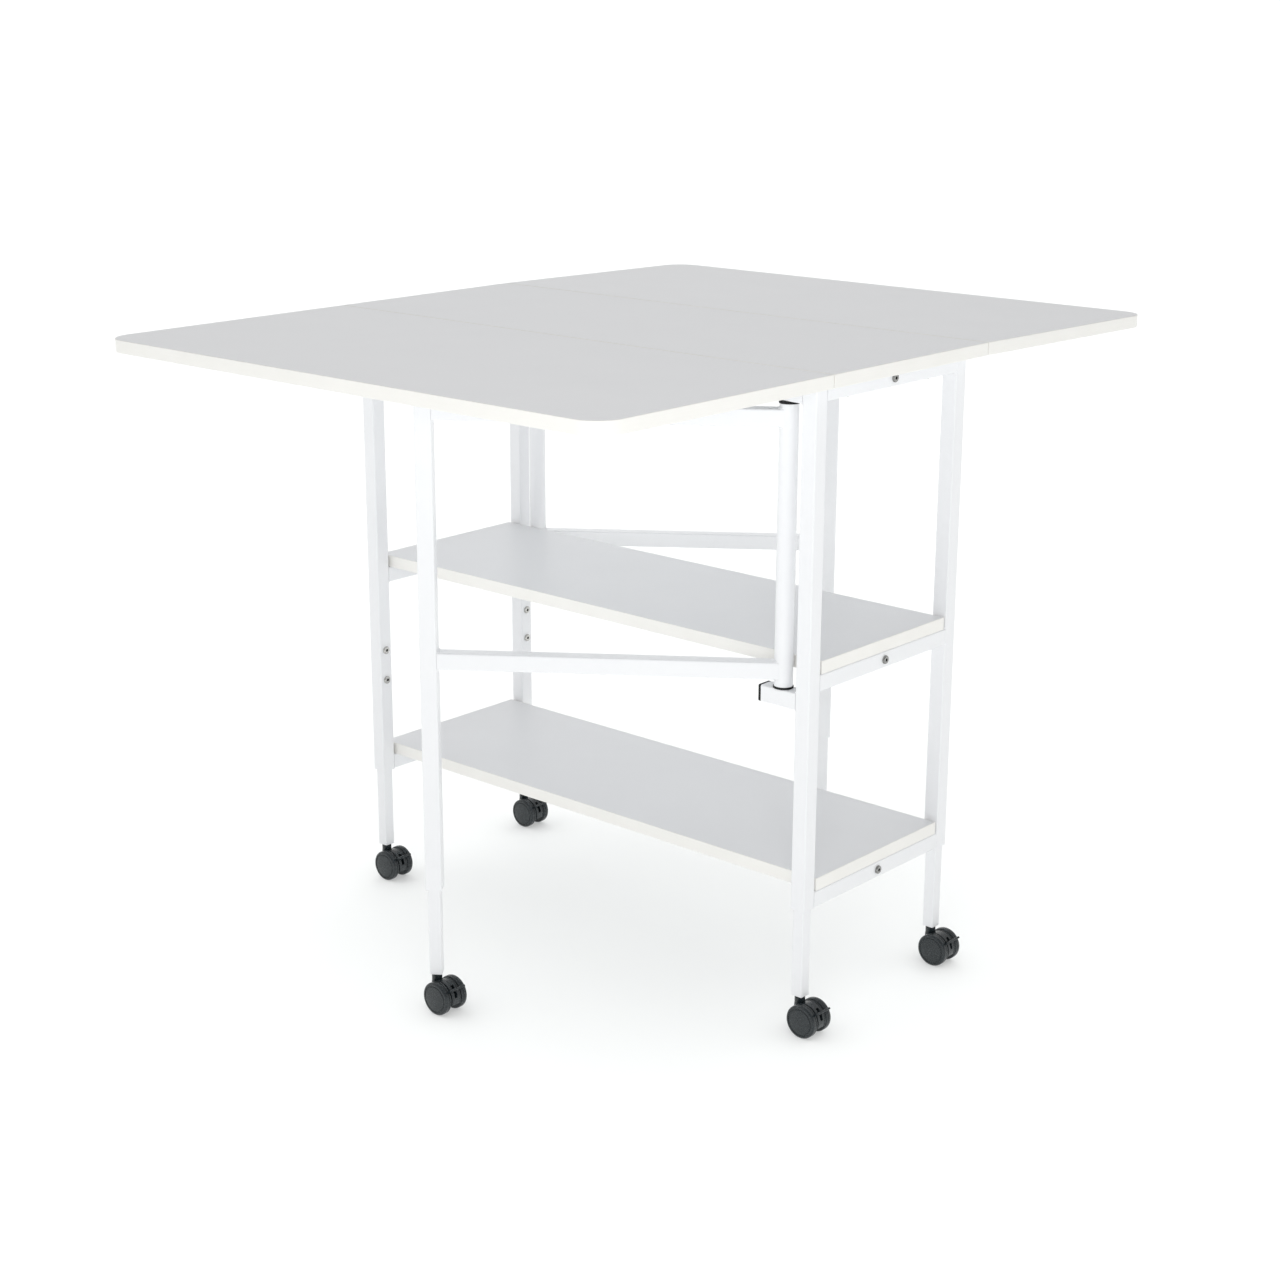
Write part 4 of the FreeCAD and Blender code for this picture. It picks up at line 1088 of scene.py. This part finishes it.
def make_brake(leg, centre):
    """The foot bar with grip ribs, its arm and the pin that it turns on."""
    skin = Skin()
    axle = centre @ at(CASTER_TRAIL, 0, WHEEL_RADIUS)
    pedal = axle @ turn(-PEDAL_ANGLE, "Y")
    width = 2 * PEDAL_HALF_WIDTH
    depth = PEDAL_FAR - PEDAL_NEAR
    bar = pedal @ at(PEDAL_NEAR, 0, 0) @ ALONG_X
    add_block(skin, PEDAL_THICKNESS, width, depth, PEDAL_CORNER, PEDAL_EASE, bar)
    for rib in range(RIBS):
        along = PEDAL_NEAR + RIB_START + RIB_PITCH * rib
        place = pedal @ at(along, 0, PEDAL_THICKNESS / 2 - RIB_SINK)
        add_block(
            skin, RIB_WIDTH, width - RIB_MARGIN, RIB_HEIGHT, RIB_CORNER, RIB_EASE, place
        )
    pivot_x, pivot_z = BRAKE_PIVOT
    middle = (PEDAL_NEAR + PEDAL_FAR) / 2
    end_x = middle * math.cos(math.radians(PEDAL_ANGLE))
    end_z = middle * math.sin(math.radians(PEDAL_ANGLE))
    reach = math.hypot(end_x - pivot_x, end_z - pivot_z)
    slope = math.degrees(math.atan2(end_z - pivot_z, end_x - pivot_x))
    pivot = axle @ at(pivot_x, 0, pivot_z)
    arm = pivot @ turn(-slope, "Y") @ ALONG_X
    thickness, width = BRAKE_ARM_THICKNESS, 2 * BRAKE_ARM_HALF_WIDTH
    add_block(skin, thickness, width, reach, BRAKE_ARM_CORNER, BRAKE_ARM_EASE, arm)
    add_lathe(skin, pin_profile(*BRAKE_HUB), pivot @ ALONG_Y, HUB_STEPS)
    add_lathe(skin, pin_profile(*BRAKE_PIN), pivot @ ALONG_Y, PIN_STEPS)
    node = leg + "_caster_brake"
    make_piece(leg + "_brake_pedal", leg + "_brake", skin, [NYLON], [node])


def make_legs():
    hood = hood_mesh()
    for leg in LEGS:
        make_inner_leg(leg)
        stem = node_centre(leg + "_inner_leg")
        centre = at(stem.x, stem.y, 0)
        make_wheels(leg, centre)
        make_housing(leg, centre, hood)
        make_brake(leg, centre)


# ---- camera, light and floor ------------------------------------------------

def make_camera():
    azimuth, elevation, roll = map(math.radians, CAMERA_ANGLES)
    ahead = Vector((
        -math.sin(azimuth) * math.cos(elevation),
        math.cos(azimuth) * math.cos(elevation),
        -math.sin(elevation),
    ))
    level_right = ahead.cross(Vector((0, 0, 1))).normalized()
    level_up = level_right.cross(ahead)
    right = math.cos(roll) * level_right + math.sin(roll) * level_up
    up = -math.sin(roll) * level_right + math.cos(roll) * level_up
    data = bpy.data.cameras.new("camera")
    data.sensor_width = 36.0
    data.lens = CAMERA_LENS
    data.shift_x, data.shift_y = CAMERA_SHIFT
    data.clip_end = CAMERA_FAR
    camera = new_object("camera", data)
    axes = Matrix((right, up, -ahead)).transposed().to_4x4()
    camera.matrix_world = Matrix.Translation(CAMERA_PLACE) @ axes
    bpy.context.scene.camera = camera


def add_light(name, kind, strength, shining):
    data = bpy.data.lights.new(name, kind)
    data.energy = strength
    light = new_object(name, data)
    light.rotation_euler = shining.to_track_quat("-Z", "Y").to_euler()
    return light


def make_key_box():
    """A square soft box close by in front, which no glossy surface reflects."""
    shining = Vector(KEY_AIM) - Vector(KEY_PLACE)
    light = add_light("key_box", "AREA", KEY_POWER, shining)
    light.data.size = KEY_SIZE
    light.location = KEY_PLACE
    light.visible_glossy = False


def faded(nodes, links, value, spans, strengths):
    """A brightness that goes smoothly from one strength to the other across the span."""
    fade = nodes.new("ShaderNodeMapRange")
    fade.interpolation_type = "SMOOTHSTEP"
    fade.inputs["From Min"].default_value, fade.inputs["From Max"].default_value = spans
    fade.inputs["To Min"].default_value, fade.inputs["To Max"].default_value = strengths
    links.new(value, fade.inputs["Value"])
    return fade.outputs["Result"]


def facing(nodes, links, towards):
    """How far each direction of the surroundings looks the given way, from -1 to 1."""
    dot = nodes.new("ShaderNodeVectorMath")
    dot.operation = "DOT_PRODUCT"
    dot.inputs[1].default_value = towards
    links.new(nodes["Texture Coordinate"].outputs["Generated"], dot.inputs[0])
    return dot.outputs["Value"]


def joined(nodes, links, operation, first, second):
    node = nodes.new("ShaderNodeMath")
    node.operation = operation
    links.new(first, node.inputs[0])
    if isinstance(second, float):
        node.inputs[1].default_value = second
    else:
        links.new(second, node.inputs[1])
    return node.outputs["Value"]


def make_studio():
    """A low white sweep all round, dimmer walls above it, and one soft box in front."""
    world = bpy.data.worlds.new("studio")
    bpy.context.scene.world = world
    world.use_nodes = True
    nodes, links = world.node_tree.nodes, world.node_tree.links
    nodes.new("ShaderNodeTexCoord")
    backwards = facing(nodes, links, (0.0, 1.0, 0.0))
    leftwards = facing(nodes, links, (-1.0, 0.0, 0.0))
    upwards = facing(nodes, links, (0.0, 0.0, 1.0))
    behind = faded(nodes, links, backwards, WALL_SPAN, (0.0, WALL_BEHIND))
    left = faded(nodes, links, leftwards, WALL_SPAN, (0.0, WALL_LEFT))
    sweep = faded(nodes, links, upwards, SWEEP_SPAN, (1.0, 0.0))
    walls = joined(nodes, links, "ADD", joined(nodes, links, "ADD", behind, left), WALLS)
    strength = joined(nodes, links, "MAXIMUM", walls, sweep)
    links.new(strength, nodes["Background"].inputs["Strength"])
    nodes["Background"].inputs["Color"].default_value = (1.0, 1.0, 1.0, 1.0)
    make_key_box()
    bpy.context.scene.view_settings.view_transform = "Standard"


def make_floor():
    """A pale sweep that burns out to white, with its own wide light from overhead."""
    half = FLOOR_HALF
    mesh = bpy.data.meshes.new("floor")
    corners = [(-half, -half, 0), (half, -half, 0), (half, half, 0), (-half, half, 0)]
    mesh.from_pydata(corners, [], [(0, 1, 2, 3)])
    floor = new_object("floor", mesh)
    material = bpy.data.materials.new("pale_floor")
    material.use_nodes = True
    shader = material.node_tree.nodes["Principled BSDF"]
    shader.inputs["Base Color"].default_value = FLOOR_COLOUR
    shader.inputs["Roughness"].default_value = 0.9
    shader.inputs["Specular IOR Level"].default_value = 0.1
    shader.inputs["Emission Color"].default_value = (1.0, 1.0, 1.0, 1.0)
    shader.inputs["Emission Strength"].default_value = FLOOR_GLOW
    mesh.materials.append(material)
    lit = bpy.data.collections.new("lit_floor")
    lit.objects.link(floor)
    wash = add_light("floor_wash", "SUN", WASH_STRENGTH, Vector((0.0, 0.0, -1.0)))
    wash.data.angle = math.radians(WASH_SPREAD)
    wash.light_linking.receiver_collection = lit


def dress_cad_nodes():
    """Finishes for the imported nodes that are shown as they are."""
    finishes = {
        "wood_screws": STEEL,
        "gate_pivot_pins": STEEL,
        "hinge_plates": STEEL,
        "hinge_pins": STEEL,
        "leaf_stops": BLACK,
    }
    finishes.update({leg + "_caster_steel": STEEL for leg in LEGS})
    for node, material in finishes.items():
        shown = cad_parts[node]
        for held in shown.material_slots:
            held.material = material


make_camera()
make_studio()
make_floor()
make_boards()
make_uprights()
make_rails()
make_stubs()
make_fasteners()
make_gates()
make_legs()
dress_cad_nodes()
